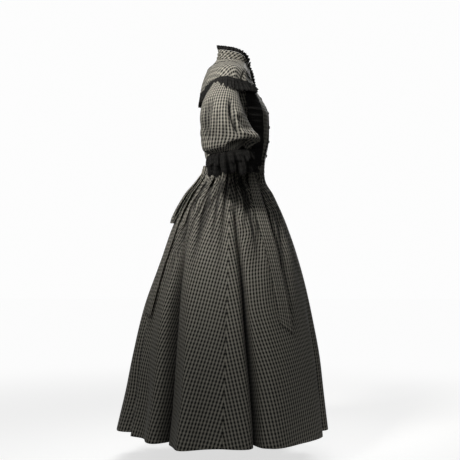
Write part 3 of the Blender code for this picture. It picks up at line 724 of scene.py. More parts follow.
def skirt_panel(back):
    """The outer points, the cut's coordinates and the shade painted into the folds and gathers of one
    panel, from the hem up.
    """
    gathers = gathers_of(11 if back else 5)
    lows = np.linspace(0.0, 1.0, SKIRT_ROWS) ** 1.35
    grid = []
    shares = np.linspace(0.0, 1.0, SKIRT_COLUMNS + 1)
    for low in lows:
        z = SKIRT_TOP + (HEM - SKIRT_TOP) * low
        seam = SEAM_WAIST_DEG + (SEAM_HEM_DEG - SEAM_WAIST_DEG) * low
        first, last = (seam, 360 - seam) if back else (-seam, seam)
        degs = np.linspace(first, last, SKIRT_DENSE)
        radius = hull_radius(degs, z)
        rise, hidden, deep = fold_rises(degs, z, radius)
        radius = radius + rise
        line = around(np.radians(degs), radius, z)
        arc = lengths_along(line, 0)
        cut = 2 * PANEL_HALF_ANGLE * (PANEL_TOP_RADIUS + PANEL_LENGTH * low)
        excess = max(cut - arc[-1], 0.0)
        gathered = math.exp(-((low / 0.20) ** 2))
        tucked = running_sum(hidden, arc)
        place = arc + excess * (gathered * arc / arc[-1] + (1 - gathered) * tucked / tucked[-1])
        place /= place[-1]
        along = np.gradient(line, axis=0)
        normal = unit(np.stack([-along[:, 1], along[:, 0], np.zeros(len(line))], axis=-1))
        sink, packed = gather_sink(place, low, gathers)
        edge = np.minimum(ease(place / 0.012), ease((1 - place) / 0.012))
        seam_dip = 0.0018 * (1 - edge) * float(ease(low / 0.05))
        wave = 0.0024 * sine(3.1 * place + 1.3 * low + (0.4 if back else 0.0))
        wave += 0.0014 * sine(7.3 * place - 1.6 * low)
        wave *= edge * float(ease(low / 0.15))
        line = line - normal * (sink * edge + seam_dip - wave)[:, None]
        arc = lengths_along(line, 0)
        excess = max(cut - arc[-1], 0.0)
        closed = running_sum(packed * edge + 1e-6, arc)
        place = arc + excess * (gathered * closed / closed[-1] + (1 - gathered) * tucked / tucked[-1])
        place /= place[-1]
        # Painted shade: the gathers darken the colour by how far they sink the cloth
        deep = np.clip(deep + sink * edge / GATHER_FULL_DEPTH, 0.0, 1.0)
        grid.append(np.stack([np.interp(shares, place, values) for values in (*line.T, deep)], axis=-1))
    grid = np.array(grid)
    slant = PANEL_LENGTH * lows[:, None]
    angle = PANEL_HALF_ANGLE * (2 * shares - 1)[None, :]
    reach = PANEL_TOP_RADIUS + slant
    flat = np.stack([reach * np.sin(angle), -reach * np.cos(angle)], axis=-1)
    return grid[::-1, :, :3], flat[::-1], grid[::-1, :, 3]


def make_skirt(check):
    for name, back in (("skirt_front", False), ("skirt_back", True)):
        grid, flat, deep = skirt_panel(back)
        panel = cloth(f"{name}_cloth", grid, flat, check, [name], deep=deep)


BODICE_COLUMNS = 70


def bodice_levels():
    below = np.linspace(BODICE_FOOT, UNDERARM, 56)[:-1]
    beside = ARMHOLE_Z + ARMHOLE_RISE * np.sin(np.radians(np.linspace(-90, 90, 37)))
    rises = np.linspace(0.0, 1.0, 16)[1:]
    return [(z, 0.0) for z in (*below, *beside)] + [(beside[-1], rise) for rise in rises]


def bodice_panel(back):
    """Outer points, normals and cut coordinates of the back, or of the right front."""
    join = float(armhole_edge(np.array(UNDERARM), True))
    points = []
    normals = []
    for z, rise in bodice_levels():
        half = float(read(TORSO, "half", z))
        shift = math.degrees(SEAM / 2 / half)
        if UNDERARM < z < ARMHOLE_Z + ARMHOLE_RISE - 1e-6 and rise == 0.0:
            limit = float(armhole_edge(np.array(z), back))
        else:
            limit = join + (shift if back else -shift)
        if back:
            degs = np.linspace(limit, 360 - limit, 2 * BODICE_COLUMNS + 1)
        else:
            height = z + (float(neck_z(0.0)) - z) * rise
            degs = np.linspace(float(deg_of_x(SEAM / 2, height)), limit, BODICE_COLUMNS + 1)
        heights = z + (neck_z(degs) - z) * rise
        points.append(torso(degs, heights))
        normals.append(torso_normal(degs, heights))
    points = np.array(points)
    normals = np.array(normals)
    around = lengths_along(points, 1)
    if back:
        around = around - around[:, -1:] / 2
    upward = lengths_along(points, 0)
    flat = np.stack([around, upward.mean(axis=1, keepdims=True) + 0 * upward], axis=-1)
    return points, normals, flat


def front_creases(points):
    """Small pleats drawn into the waist beside the placket, and soft troughs at the side of the bust."""
    x = np.abs(points[..., 0])
    z = points[..., 2]
    low = np.clip((-0.12 - z) / (-0.12 - BODICE_FOOT), 0.0, 1.0)
    wave = np.sin(2 * math.pi * (x - 0.016) / (0.0105 + 0.004 * (1 - low)))
    pleats = 0.0016 * ease(low) * wave * ease((x - 0.016) / 0.006) * ease((0.062 - x) / 0.01)
    side = 0.0014 * np.sin(2 * math.pi * (x - 0.06) / 0.021 + 5 * z)
    side = side * ease((x - 0.065) / 0.015) * ease((low - 0.3) / 0.5)
    return np.minimum(pleats + side, 0.0012)


def back_creases(points):
    """Fullness drawn into the waist at the middle of the back, and slanting troughs to the armholes."""
    x = np.abs(points[..., 0])
    z = points[..., 2]
    low = np.clip((-0.14 - z) / (-0.14 - BODICE_FOOT), 0.0, 1.0)
    pleats = 0.0016 * ease(low) * np.sin(2 * math.pi * x / 0.013 + 1.2) * ease((0.075 - x) / 0.02)
    slant = 0.0018 * np.sin(2 * math.pi * (z + 0.35 * x) / 0.046)
    slant = slant * bump_at(x, 0.115, 0.03) * bump_at(z, -0.17, 0.07)
    return np.minimum(pleats + slant, 0.0014)


def make_bodice(check):
    points, normals, flat = bodice_panel(back=False)
    placket_line = points[:, 0] + normals[:, 0] * (CLOTH + SEAM)
    creased = points + normals * front_creases(points)[..., None]
    for side, flip in SIDES:
        name = f"bodice_front_{side}"
        panel = cloth(f"{name}_cloth", *on_side(flip, creased, flat), check, [name])
    points, normals, flat = bodice_panel(back=True)
    creased = points + normals * back_creases(points)[..., None]
    panel = cloth("bodice_back_cloth", creased, flat, check, ["bodice_back"])
    return placket_line


def make_placket(check, line):
    """The strip under the buttons, folded at both edges and topstitched."""
    across = np.linspace(-1.0, 1.0, 25)
    heights = line[:, 2]
    half = read(TORSO, "half", heights)[:, None]
    degs = np.degrees(np.arcsin((PLACKET_HALF * np.abs(across[None, :]) / half) ** (ROUNDNESS / 2)))
    degs = degs * np.sign(across)[None, :]
    z = np.broadcast_to(heights[:, None], degs.shape)
    fold = 0.0007 * (bump_at(np.abs(across), 0.93, 0.10) - bump_at(np.abs(across), 0.78, 0.05))
    grid = off_torso(degs, z, CLOTH + SEAM + 0.0002 + np.broadcast_to(fold, degs.shape))
    wide = np.broadcast_to(across * PLACKET_HALF + CHECK_ACROSS * 0.25, degs.shape)
    flat = np.stack([wide, lengths_along(grid, 0)], axis=-1)
    strip = cloth("front_placket_cloth", grid, flat, check, ["front_placket"])


def make_buttons(finish, line):
    """Domed buttons with a rim and a dished middle, turned from one profile."""
    side = np.array([1.0, 0.0, 0.0])
    turns = [2 * math.pi * n / BUTTON_SIDES for n in range(BUTTON_SIDES)]
    rings = len(BUTTON_PROFILE) - 2
    foot = rings * BUTTON_SIDES
    faces = grid_faces(rings, BUTTON_SIDES, True).tolist()
    for n in range(BUTTON_SIDES):
        m = (n + 1) % BUTTON_SIDES
        faces += [(foot, m, n), (foot + 1, foot - BUTTON_SIDES + n, foot - BUTTON_SIDES + m)]
    for k in range(BUTTON_COUNT):
        z = BUTTON_FIRST_Z + k * BUTTON_PITCH
        out = torso_normal(0.0, z)
        seat = np.array([0.0, np.interp(z, line[:, 2], line[:, 1]), z])
        up = np.cross(out, side)
        points = []
        for share, lift in BUTTON_PROFILE[1:-1]:
            for turn in turns:
                spoke = (side * math.cos(turn) + up * math.sin(turn)) * BUTTON_RADIUS * share
                points.append(seat + spoke + out * (BUTTON_SEAT + BUTTON_DEPTH * lift))
        for share, lift in (BUTTON_PROFILE[0], BUTTON_PROFILE[-1]):
            points.append(seat + out * (BUTTON_SEAT + BUTTON_DEPTH * lift))
        mesh = bpy.data.meshes.new(f"button_{k + 1}_turned")
        mesh.from_pydata([tuple(point) for point in points], [], faces)
        mesh.shade_smooth()
        shown(f"button_{k + 1}_turned", mesh, finish, [f"button_{k + 1}"])


BAND_COLUMNS = 240


def make_band(check):
    degs = np.linspace(0, 360, BAND_COLUMNS + 1)[:-1]
    rows = np.linspace(0.0, 1.0, 15)
    z = BAND_FOOT + (BAND_TOP - BAND_FOOT) * rows[:, None] + 0 * degs[None, :]
    fold = 0.0005 * sine(rows[:, None] * 1.5 + degs[None, :] / 41.0)
    grid = off_torso(np.broadcast_to(degs, z.shape), z, BAND_PROUD + fold)
    wrapped = np.concatenate([grid, grid[:, :1]], axis=1)
    flat = np.stack(np.broadcast_arrays(lengths_along(wrapped, 1), z[:, :1]), axis=-1)
    band = cloth("waistband_cloth", grid, flat, check, ["waistband"], closed=True)


def armhole_ring(turn):
    """The sleeve's first ring, just inside the bodice's armhole edge."""
    inset = ARMHOLE_RISE * (1 - math.cos(math.radians(11.25))) + SEAM
    y = ARMHOLE_Y - (ARMHOLE_DEPTH - inset) * np.cos(turn)
    z = ARMHOLE_Z + (ARMHOLE_RISE - inset) * np.sin(turn)
    depth = depth_at(TORSO, y <= 0, z)
    half = read(TORSO, "half", z)
    x = half * (1 - (np.abs(y) / depth) ** ROUNDNESS) ** (1 / ROUNDNESS)
    return np.stack([-x, y, z], axis=-1)


def ring_points(ring, turn):
    ahead = np.cos(turn)
    outward = np.sin(turn)
    return np.stack(
        [
            ring.x - ring.outer * outward,
            ring.y - ring.front * ahead,
            ring.z + ring.front_rise * ahead + ring.outer_rise * outward,
        ],
        axis=-1,
    )


def smooth_rows(coarse, count):
    """More rows between those of a grid, on a smooth curve through them, evenly spaced."""
    spans = np.linalg.norm(np.diff(coarse, axis=0), axis=-1).mean(axis=1)
    keys = np.concatenate([[0.0], np.cumsum(spans)])
    slopes = np.gradient(coarse, keys, axis=0)
    at = np.linspace(0.0, keys[-1], count)
    i = np.clip(np.searchsorted(keys, at) - 1, 0, len(keys) - 2)
    step = (keys[i + 1] - keys[i])[:, None, None]
    f = ((at - keys[i])[:, None, None]) / step
    return cubic(f, step, coarse[i], coarse[i + 1], slopes[i], slopes[i + 1]), at


# Creases of the near sleeve seen from its outer side: points as distances back and up, depth, widths
SLEEVE_CREASES = table("points depth upper lower", (
    (
        ((0.0005, -0.118), (-0.0034, -0.174), (-0.0130, -0.212), (-0.0250, -0.240), (-0.036, -0.258)),
        -0.0220, 0.0070, 0.0050,
    ),
    (((-0.016, -0.160), (-0.0240, -0.200), (-0.0330, -0.230)), 0.0050, 0.009, 0.009),
    (
        ((-0.028, -0.236), (-0.0475, -0.2440), (-0.0645, -0.2500), (-0.0882, -0.2579), (-0.104, -0.2625)),
        0.0080, 0.006, 0.007,
    ),
    (((-0.0560, -0.2230), (-0.0760, -0.2390), (-0.1000, -0.2590)), 0.0070, 0.004, 0.006),
    (((-0.020, -0.184), (-0.043, -0.208), (-0.078, -0.240)), -0.0110, 0.014, 0.008),
    (((0.034, -0.150), (0.047, -0.200), (0.052, -0.250), (0.046, -0.290)), -0.0060, 0.008, 0.007),
    (((0.058, -0.112), (0.071, -0.160), (0.078, -0.215), (0.074, -0.285)), -0.0130, 0.007, 0.010),
    (((0.074, -0.125), (0.088, -0.170), (0.094, -0.220), (0.088, -0.270)), -0.0120, 0.006, 0.008),
    (((0.010, -0.215), (0.016, -0.250), (0.012, -0.290)), -0.0035, 0.008, 0.008),
))
# The edge above which the puff stands out, and below which it turns under at the front, by distance back
PUFF_EDGE = table("y z", (
    (-0.104, -0.2640), (-0.080, -0.2600), (-0.050, -0.2600), (-0.020, -0.2660), (0.014, -0.2760),
))
PUFF_UNDER = 0.031


def crease_shift(points, crease):
    """How far one crease moves points out, by their distance from its line in the side view."""
    way = np.array(crease.points)
    y = points[..., 1]
    z = points[..., 2]
    best = np.full(y.shape, 1e9)
    signed = np.zeros(y.shape)
    place = np.zeros(y.shape)
    spans = np.linalg.norm(np.diff(way, axis=0), axis=1)
    total = spans.sum()
    done = 0.0
    for (a, b), span in zip(zip(way, way[1:]), spans):
        along = (b - a) / span
        t = np.clip((y - a[0]) * along[0] + (z - a[1]) * along[1], 0.0, span)
        dy = y - a[0] - along[0] * t
        dz = z - a[1] - along[1] * t
        distance = np.hypot(dy, dz)
        closer = distance < best
        side = dy * along[1] - dz * along[0]
        best = np.where(closer, distance, best)
        signed = np.where(closer, np.copysign(distance, side), signed)
        place = np.where(closer, (done + t) / total, place)
        done += span
    width = np.where(signed > 0, crease.upper, crease.lower)
    taper = ease(place / 0.25) * ease((1 - place) / 0.25) * 0.85 + 0.15 * (place > 0) * (place < 1)
    shape = cleft_at(best, 0.0, width) if crease.depth < 0 else bump_at(best, 0.0, width)
    return crease.depth * taper * shape


SLEEVE_COLUMNS = 260
SLEEVE_ROWS = 90
PUFF_GATHERS = 26
# How deep a crease is where the shade painted into it is fullest, and the share of the full painted shade
# that the sleeve gets
SLEEVE_FULL_DEPTH = 0.014
SLEEVE_PAINTED_SHADE = 0.85
# The narrow band that the sleeve ends in, inside the cuff's lace
CUFF_BAND_ROWS = 3
CUFF_BAND_DROP = 0.012
CUFF_BAND_TAPER = 0.06


def sleeve_grid(seed):
    """The right sleeve's outer points from its top down, with gathers at both ends."""
    rng = np.random.default_rng(seed)
    turn = 2 * math.pi * np.arange(SLEEVE_COLUMNS) / SLEEVE_COLUMNS
    coarse = np.array([armhole_ring(turn)] + [ring_points(ring, turn) for ring in SLEEVE])
    grid, along = smooth_rows(coarse, SLEEVE_ROWS)
    normals = -sheet_normals(grid, True)
    along = along / along[-1]
    sink = np.zeros(grid.shape[:2])
    for k in range(PUFF_GATHERS):
        place = 2 * math.pi * (k + rng.uniform(-0.2, 0.2)) / PUFF_GATHERS
        away = np.abs((turn - place + math.pi) % (2 * math.pi) - math.pi)
        low_reach = rng.uniform(0.06, 0.15)
        low_depth = rng.uniform(0.0030, 0.0055)
        low = np.exp(-(((1 - along) / low_reach) ** 2)) * (0.35 + 0.65 * ease((1 - along) / 0.03))
        sink += low_depth * low[:, None] * bump_at(away, 0.0, 0.075)[None, :]
        head = max(0.0, math.sin(place))
        top_reach = rng.uniform(0.10, 0.26)
        top_depth = rng.uniform(0.0025, 0.0045) * (0.25 + 0.75 * head)
        top = np.exp(-((along / top_reach) ** 2)) * (0.2 + 0.8 * ease(along / 0.06))
        sink += top_depth * top[:, None] * bump_at(away, 0.0, 0.07)[None, :]
    return grid, normals, sink, turn


def make_sleeves(check):
    for (side, flip), seed in zip(SIDES, (3, 8)):
        grid, normals, sink, turn = sleeve_grid(seed)
        outside = ease((np.sin(turn)[None, :] + 0.25) / 0.5)
        creased = sum(crease_shift(grid, crease) for crease in SLEEVE_CREASES) * outside
        shift = creased - sink
        # Painted shade: the colour darkens in the sleeve's creases and gathers by how far they sink the
        # cloth
        deep = np.clip(-shift / SLEEVE_FULL_DEPTH, 0.0, 1.0) * SLEEVE_PAINTED_SHADE
        inside = 1 - outside
        y, z = grid[..., 1], grid[..., 2]
        edge = read(PUFF_EDGE, "z", y)
        under = ease((edge - z) / 0.017) * ease((0.016 - y) / 0.022) * ease((z + 0.3020) / 0.011)
        shift = shift - PUFF_UNDER * under * outside
        shift = shift - 0.004 * inside * bump_at(z + 0.4 * y, -0.215, 0.007)
        shift = shift - 0.003 * inside * bump_at(z + 0.7 * y, -0.245, 0.006)
        wobble = 0.0012 * np.sin(7 * turn[None, :] + 40 * z + seed) * bump_at(z, -0.21, 0.06)
        grid = grid + normals * (shift + wobble)[..., None]
        foot = grid[-1]
        steps = np.linspace(0.0, 1.0, CUFF_BAND_ROWS + 1)[1:, None, None]
        band = foot + (foot.mean(axis=0) - foot) * CUFF_BAND_TAPER * steps - UP * CUFF_BAND_DROP * steps
        grid = np.concatenate([grid, band])[::-1]
        deep = np.concatenate([deep, np.repeat(deep[-1:], CUFF_BAND_ROWS, axis=0)])[::-1]
        share = np.arange(SLEEVE_COLUMNS + 1) / SLEEVE_COLUMNS
        up = lengths_along(grid, 0).mean(axis=1, keepdims=True) * SLEEVE_CHECK_SHARE
        flat = np.stack(np.broadcast_arrays(share * SLEEVE_WIDTH + SLEEVE_TWIST * up, up), axis=-1)
        deep = deep if flip > 0 else deep[:, ::-1]
        grid, flat = on_side(flip, grid, flat)
        puff = cloth(f"sleeve_{side}_cloth", grid, flat, check, [f"sleeve_{side}"], closed=True, deep=deep)


LACE_FULLNESS = 1.7
SCALLOP_PITCH = 0.011


def ruffle(
    name, top, foot, out, waves, depth, width, share, finish, nodes,
    rows=14, per_wave=14, seed=1, scallop=0.0030, bulge=None,
):
    """A gathered lace strip between two edges: its waves grow towards the free edge, which is scalloped."""
    rng = np.random.default_rng(seed)
    wide = waves * per_wave + 1
    places = np.linspace(0.0, 1.0, wide)
    keys = np.linspace(0.0, 1.0, len(top))

    def spread(line):
        return np.stack([np.interp(places, keys, line[:, axis]) for axis in range(3)], axis=-1)

    top, foot, out = spread(top), spread(foot), unit(spread(out))
    arched = 0.0 if bulge is None else spread(bulge)
    uneven = 0.7 * np.sin(2 * math.pi * places * (waves / 5.0))
    phase = 2 * math.pi * waves * places + uneven + rng.uniform(0, 6)
    strength = 0.75 + 0.25 * np.sin(2 * math.pi * places * round(waves / 3) + 1.0)
    wave = np.cos(phase) * strength
    small = 0.30 * np.cos(2 * phase + 1.1)
    drop = foot - top
    length = np.linalg.norm(np.diff(foot, axis=0), axis=1).sum() * LACE_FULLNESS
    teeth = np.abs(np.sin(math.pi * places * round(length / SCALLOP_PITCH)))
    grid = []
    shares = np.linspace(0.0, 1.0, rows)
    for down_share in shares:
        line = top + drop * down_share + unit(drop) * ((teeth - 0.6) * scallop * down_share ** 6)[:, None]
        line = line + arched * 4 * down_share * (1 - down_share)
        grid.append(line + out * ((wave + small) * depth * down_share ** 0.8)[:, None])
    grid = np.array(grid)[::-1]
    flat = np.broadcast_arrays(np.linspace(0.0, length, wide), -shares[::-1, None] * width)
    flat = np.stack(flat, axis=-1)
    made = cloth(name, grid, flat, finish, nodes, thickness=LACE_SHELL, slot="black_lace")


def side_ruffle(stem, side, flip, lines, *numbers, backward=False, bulge=None, **more):
    """The same at one side, in the order of points that makes it face outward."""
    ends = np.array([flip, 1.0, 1.0])
    order = slice(None, None, -1 if (flip > 0) == backward else 1)
    lines = [(line * ends)[order] for line in lines]
    if bulge is not None:
        bulge = (bulge * ends)[order]
    ruffle(f"{stem}_{side}_net", *lines, *numbers, bulge=bulge, **more)


def cape_point(along, share):
    inner_deg, outer_deg, inner_z, outer_z, stand = (
        read(CAPE, name, along) for name in ("inner_deg", "outer_deg", "inner_z", "outer_z", "stand")
    )
    out = CAPE_LIFT + (stand - CAPE_LIFT) * share ** 1.7
    deg = inner_deg + (outer_deg - inner_deg) * share
    return off_torso(deg, inner_z + (outer_z - inner_z) * share, out)


# A dark cord along the cape's inner edge: painted shadow, standing for the shade line where the cape lifts
# off the bodice
SHADOW_CORD_RADIUS = 0.0013
SHADOW_CORD_SIDES = 12


def make_shadow_cord(name, rows, finish):
    """A thin dark cord along the uppermost row of a grid, a painted shadow line."""
    line = rows[-1]
    along = unit(np.gradient(line, axis=0))
    up = unit(rows[-1] - rows[0])
    out = np.cross(along, up)
    out *= np.sign((out * (line - np.array([0.0, 0.0, -0.2]))).sum(axis=1, keepdims=True))
    turn = 2 * math.pi * np.arange(SHADOW_CORD_SIDES) / SHADOW_CORD_SIDES
    ring = up[:, None] * np.sin(turn)[None, :, None] + out[:, None] * np.cos(turn)[None, :, None]
    points = (line[:, None] + ring * SHADOW_CORD_RADIUS).reshape(-1, 3)
    faces = grid_faces(len(line), SHADOW_CORD_SIDES, True)
    mesh = bpy.data.meshes.new(name)
    mesh.from_pydata(points.tolist(), [], faces.tolist())
    layer = mesh.uv_layers.new(name="cut")
    girth = np.tile(turn * SHADOW_CORD_RADIUS, len(line))
    flat = np.stack([np.repeat(lengths_along(line, 0), SHADOW_CORD_SIDES), girth], axis=-1)
    layer.data.foreach_set("uv", flat[faces.reshape(-1)].reshape(-1))
    mesh.shade_smooth()
    shown(name, mesh, finish, [])


CAPE_TURN = math.radians(92.0)
CAPE_INNER_RADIUS = 0.15
CAPE_EASE = 0.72
CAPE_LAST = 0.9995
CAPE_COLUMNS = 161
CAPE_ROWS = 34


def make_cape(check, lace):
    along = np.linspace(0.0, CAPE_LAST, CAPE_COLUMNS)
    shares = np.linspace(0.0, 1.0, CAPE_ROWS)
    grid = np.array([cape_point(along, np.full_like(along, share)) for share in shares])
    normals = -sheet_normals(grid, False)
    a, s = np.meshgrid(along, shares)
    soft = 0.0020 * sine(a * 5.5 + 0.15 * s) * s
    soft += 0.0013 * np.sin(2 * math.pi * (a * 11.0 - 0.3 * s) + 0.8) * s * s
    soft -= 0.0030 * bump_at(a - 0.08 * s, 0.22, 0.012) * ease(s * 2)
    soft -= 0.0026 * bump_at(a + 0.05 * s, 0.64, 0.014) * ease(s * 2)
    hem_roll = 0.0009 * bump_at(s, 0.97, 0.03) - 0.0006 * bump_at(s, 0.90, 0.02)
    grid = grid + normals * (soft * ease((1 - a) / 0.02) + hem_roll)[..., None]
    across = lengths_along(grid, 0)
    turn = (1 - a) * CAPE_TURN
    reach = CAPE_INNER_RADIUS + across * CAPE_EASE
    flat = np.stack([reach * np.sin(turn), -reach * np.cos(turn)], axis=-1)
    top = grid[-1]
    outer_deg, outer_z, stand, lace_stand = (
        read(CAPE, name, along) for name in ("outer_deg", "outer_z", "stand", "lace_stand")
    )
    drop = CAPE_LACE_DROP * (0.45 + 0.55 * ease(along / 0.14))
    fall = np.sqrt(np.maximum(drop ** 2 - (lace_stand - stand) ** 2, 0.0))
    foot = off_torso(outer_deg, outer_z - fall, lace_stand)
    out = unit(np.cross(foot - top, np.gradient(top, axis=0)))
    out *= np.sign((out * (top - np.array([0.0, 0.0, -0.10]))).sum(axis=1).mean())
    heading = top + unit(foot - top) * 0.0012
    for side, flip in SIDES:
        panel_grid, panel_flat = on_side(flip, grid[::-1], flat[::-1])
        panel = cloth(f"cape_{side}_cloth", panel_grid, panel_flat, check, [f"cape_{side}"])
        # Painted shadow: a dark cord along the cape's inner edge
        make_shadow_cord(f"cape_piping_{side}", panel_grid[-3:], lace)
        side_ruffle(
            "cape_lace", side, flip, (heading, foot, out), 22, 0.0050, CAPE_LACE_DROP, 0.8, lace,
            [f"cape_lace_{side}"], seed=4 + flip, rows=10, per_wave=14,
        )


def make_front_frills(lace):
    z = np.linspace(FRILL[0].z, FRILL[-1].z, 140)
    start, width, stand = (read(FRILL, name, z) for name in ("seam_deg", "width", "stand"))
    reach = np.degrees(width / read(TORSO, "half", z))
    top = off_torso(start, z, np.full_like(z, FRILL_LIFT))
    foot = off_torso(start + reach, z, stand)
    out = torso_normal(start + reach * 0.7, z)
    bulge = off_torso(start + reach / 2, z, (stand + FRILL_LIFT) / 2) - (top + foot) / 2
    for side, flip in SIDES:
        side_ruffle(
            "front_lace", side, flip, (top, foot, out), 12, 0.0034, FRONT_LACE_WIDTH, 0.66, lace,
            [f"front_lace_{side}"], seed=20 + flip, rows=16, per_wave=18, backward=True, bulge=bulge,
        )


# The layers of lace at each cuff: share of the drop, wave depth, waves round, phase, how far it stands out
CUFF_LAYERS = table("name share depth waves phase out", (
    ("cuff_lace", 1.0, 0.0125, 13, 0.0, 0.0),
    ("cuff_heading", 0.50, 0.0095, 17, 2.1, 0.0085),
))
CUFF_COLUMNS = 390
CUFF_ROWS = 16
CUFF_COARSE = 192
CUFF_LENGTH = 0.86
CUFF_DROP = 0.078


def cuff_layer(layer):
    """One layer of a cuff's lace from its seam down: deep uneven waves and a scalloped, dipping edge."""
    turn = 2 * math.pi * np.arange(CUFF_COARSE) / CUFF_COARSE
    coarse = np.array([ring_points(ring, turn) for ring in CUFF])
    grid, along = smooth_rows(coarse, CUFF_ROWS)
    normals = -sheet_normals(grid, True)
    fine = 2 * math.pi * np.arange(CUFF_COLUMNS) / CUFF_COLUMNS
    keys = np.linspace(0, 2 * math.pi, CUFF_COARSE + 1)

    def refined(row):
        around_row = np.concatenate([row, row[:1]])
        return np.stack([np.interp(fine, keys, around_row[:, axis]) for axis in range(3)], axis=-1)

    grid, normals = (np.stack([refined(row) for row in part]) for part in (grid, normals))
    share = (along / along[-1])[:, None]
    phase = layer.waves * fine + 0.9 * np.sin(3 * fine + 1.0) + 0.6 * np.sin(5 * fine + layer.phase)
    wave = np.cos(phase)[None, :] + 0.40 * np.cos(2 * phase + 1.0 + 2.5 * share)
    wave = wave + 0.35 * np.cos(7 * fine + layer.phase)
    swell = (0.0012 + layer.depth * share ** 0.85) * (0.8 + 0.2 * np.cos(4 * fine + 2 * layer.phase))
    shift = (wave - 0.35) * swell + layer.out * np.sqrt(share)
    shift = shift - 0.0022 * bump_at(share, 0.08, 0.06) * (1 + 0.6 * np.cos(52 * fine))[None, :]
    grid = grid[0] + (grid - grid[0]) * layer.share + normals * shift[..., None]
    front = (1 + np.cos(fine - 0.8)) / 2
    edge = 0.0050 * np.abs(np.sin(37 * fine)) + 0.0040 * np.cos(5 * fine + 1.0)
    edge = edge + 0.0045 * np.cos(11 * fine + layer.phase) + layer.share * 0.016 * front
    grid[..., 2] -= edge[None, :] * share ** 2.5
    return grid[::-1], share[::-1]


def make_cuffs(lace):
    for side, flip in SIDES:
        for layer in CUFF_LAYERS:
            grid, share = cuff_layer(layer)
            drop = CUFF_DROP * layer.share
            wide = np.linspace(0.0, CUFF_LENGTH, CUFF_COLUMNS + 1)
            flat = np.stack(np.broadcast_arrays(wide[None, :], -share * drop), axis=-1)
            nodes = [f"cuff_lace_{side}"] if layer.share == 1.0 else []
            made = cloth(
                f"{layer.name}_{side}_net", *on_side(flip, grid, flat), lace, nodes,
                closed=True, thickness=LACE_SHELL, slot="black_lace",
            )


COLLAR_ROWS = 18
COLLAR_COLUMNS = 201


def make_collar(check, lace):
    rows = np.linspace(0.0, 1.0, COLLAR_ROWS)[:, None]
    first = float(deg_of_x(SEAM / 2, NECK_FRONT_Z))
    degs = np.linspace(first, 360 - first, COLLAR_COLUMNS)
    turn = np.radians(degs)
    ahead = (1 + np.cos(turn)) / 2
    height = COLLAR_BACK_HEIGHT + (COLLAR_FRONT_HEIGHT - COLLAR_BACK_HEIGHT) * ahead
    base = torso(degs, neck_z(degs))
    inward = unit(np.stack([-base[:, 0], -base[:, 1], 0 * degs], axis=-1))
    foot = base + UP * SEAM
    head = foot + inward * (COLLAR_LEAN * (1 - ahead))[:, None]
    head[:, 2] += height
    grid = foot[None] + (head - foot)[None] * rows[..., None]
    wrinkle = 0.0024 * sine(rows * 2.7 + 0.45 * np.sin(turn + 0.6)[None, :]) * bump_at(rows, 0.5, 0.38)
    wrinkle = np.minimum(wrinkle, 0.0008)
    grid = grid - inward[None] * wrinkle[..., None]
    girth = lengths_along(grid, 1)
    girth = girth - girth[:, -1:] / 2
    rise = rows * height[None, :]
    flat = np.stack([(girth + rise) * math.sqrt(0.5), (rise - girth) * math.sqrt(0.5)], axis=-1)
    band = cloth("collar_band_cloth", grid, flat, check, ["collar_band"])
    out = -inward
    low = grid[-1] + UP * SEAM
    high = low + out * 0.002 + UP * COLLAR_LACE_HEIGHT
    ruffle(
        "collar_lace_net", low, high, out, 27, 0.0042, COLLAR_LACE_HEIGHT, 0.9, lace, ["collar_lace"],
        rows=9, per_wave=18, seed=31, scallop=0.0028,
    )


EDGE_FRILL_FOOT = -0.047
EDGE_FRILL_WIDTH = 0.011
EDGE_FRILL_X = 0.0135


def make_edge_frills(lace):
    """The collar's narrow frill goes on down both front edges as far as the cape's corners."""
    heights = np.linspace(EDGE_FRILL_FOOT, NECK_FRONT_Z + COLLAR_FRONT_HEIGHT, 60)
    over = np.minimum(heights, NECK_FRONT_Z - 0.001)
    for side, flip in SIDES:
        deg = deg_of_x(EDGE_FRILL_X, over)
        top = off_torso(deg, over, np.where(heights > NECK_FRONT_Z, 0.0004, 0.0024))
        top[:, 2] = heights
        out = torso_normal(deg, over)
        foot = top + out * EDGE_FRILL_WIDTH * 0.75 + np.array([-EDGE_FRILL_WIDTH * 0.65, 0.0, 0.0])
        sway = unit(np.cross(foot - top, np.gradient(top, axis=0)))
        side_ruffle(
            "front_edge_frill", side, flip, (top, foot, sway), 9, 0.0030, EDGE_FRILL_WIDTH, 0.9, lace, [],
            rows=8, per_wave=16, seed=40 + flip, scallop=0.0020,
        )


def sash_strip(name, rows, side, slant, check, seed, drops):
    """A strip of the sash with soft lengthwise folds where it is drawn into the knot."""
    across = np.linspace(-1.0, 1.0, SASH_ACROSS)
    last = len(rows) - 1
    at = np.linspace(0, last, SASH_ROWS_PER_SPAN * last + 1)
    z, out, deg, half = (hermite(np.arange(last + 1), values, at) for values in zip(*rows))
    middle = 180.0 - side * deg
    reach = np.degrees(half / (hull_radius(middle, z) + out))
    tight = 1 - ease((half - 0.011) / 0.018)
    a = across[None, :]
    soft = 0.0016 * sine(a * 1.6 + seed) * tight[:, None]
    soft = soft + 0.0008 * sine(a * 0.8 + at[:, None] * 0.35 + seed) * (1 - tight[:, None])
    cut = ease(at - (last - 1)) if drops else np.zeros(len(at))
    heights = z[:, None] + slant * a * side * cut[:, None]
    turned = middle[:, None] + reach[:, None] * a
    radius = hull_radius(turned, heights) + out[:, None] + np.minimum(soft, 0.0012)
    grid = around(np.radians(turned), radius, heights)
    along = lengths_along(grid, 0)[:, SASH_ACROSS // 2, None]
    flat = np.stack(np.broadcast_arrays(a * SASH_WIDTH / 2 + CHECK_ACROSS * 0.25, -along), axis=-1)
    made = cloth(name, grid[::-1], flat[::-1], check, [name.replace("_cloth", "")])


KNOT_ROWS = 24
KNOT_COLUMNS = 48
KNOT_CHECK_RISE = 0.04


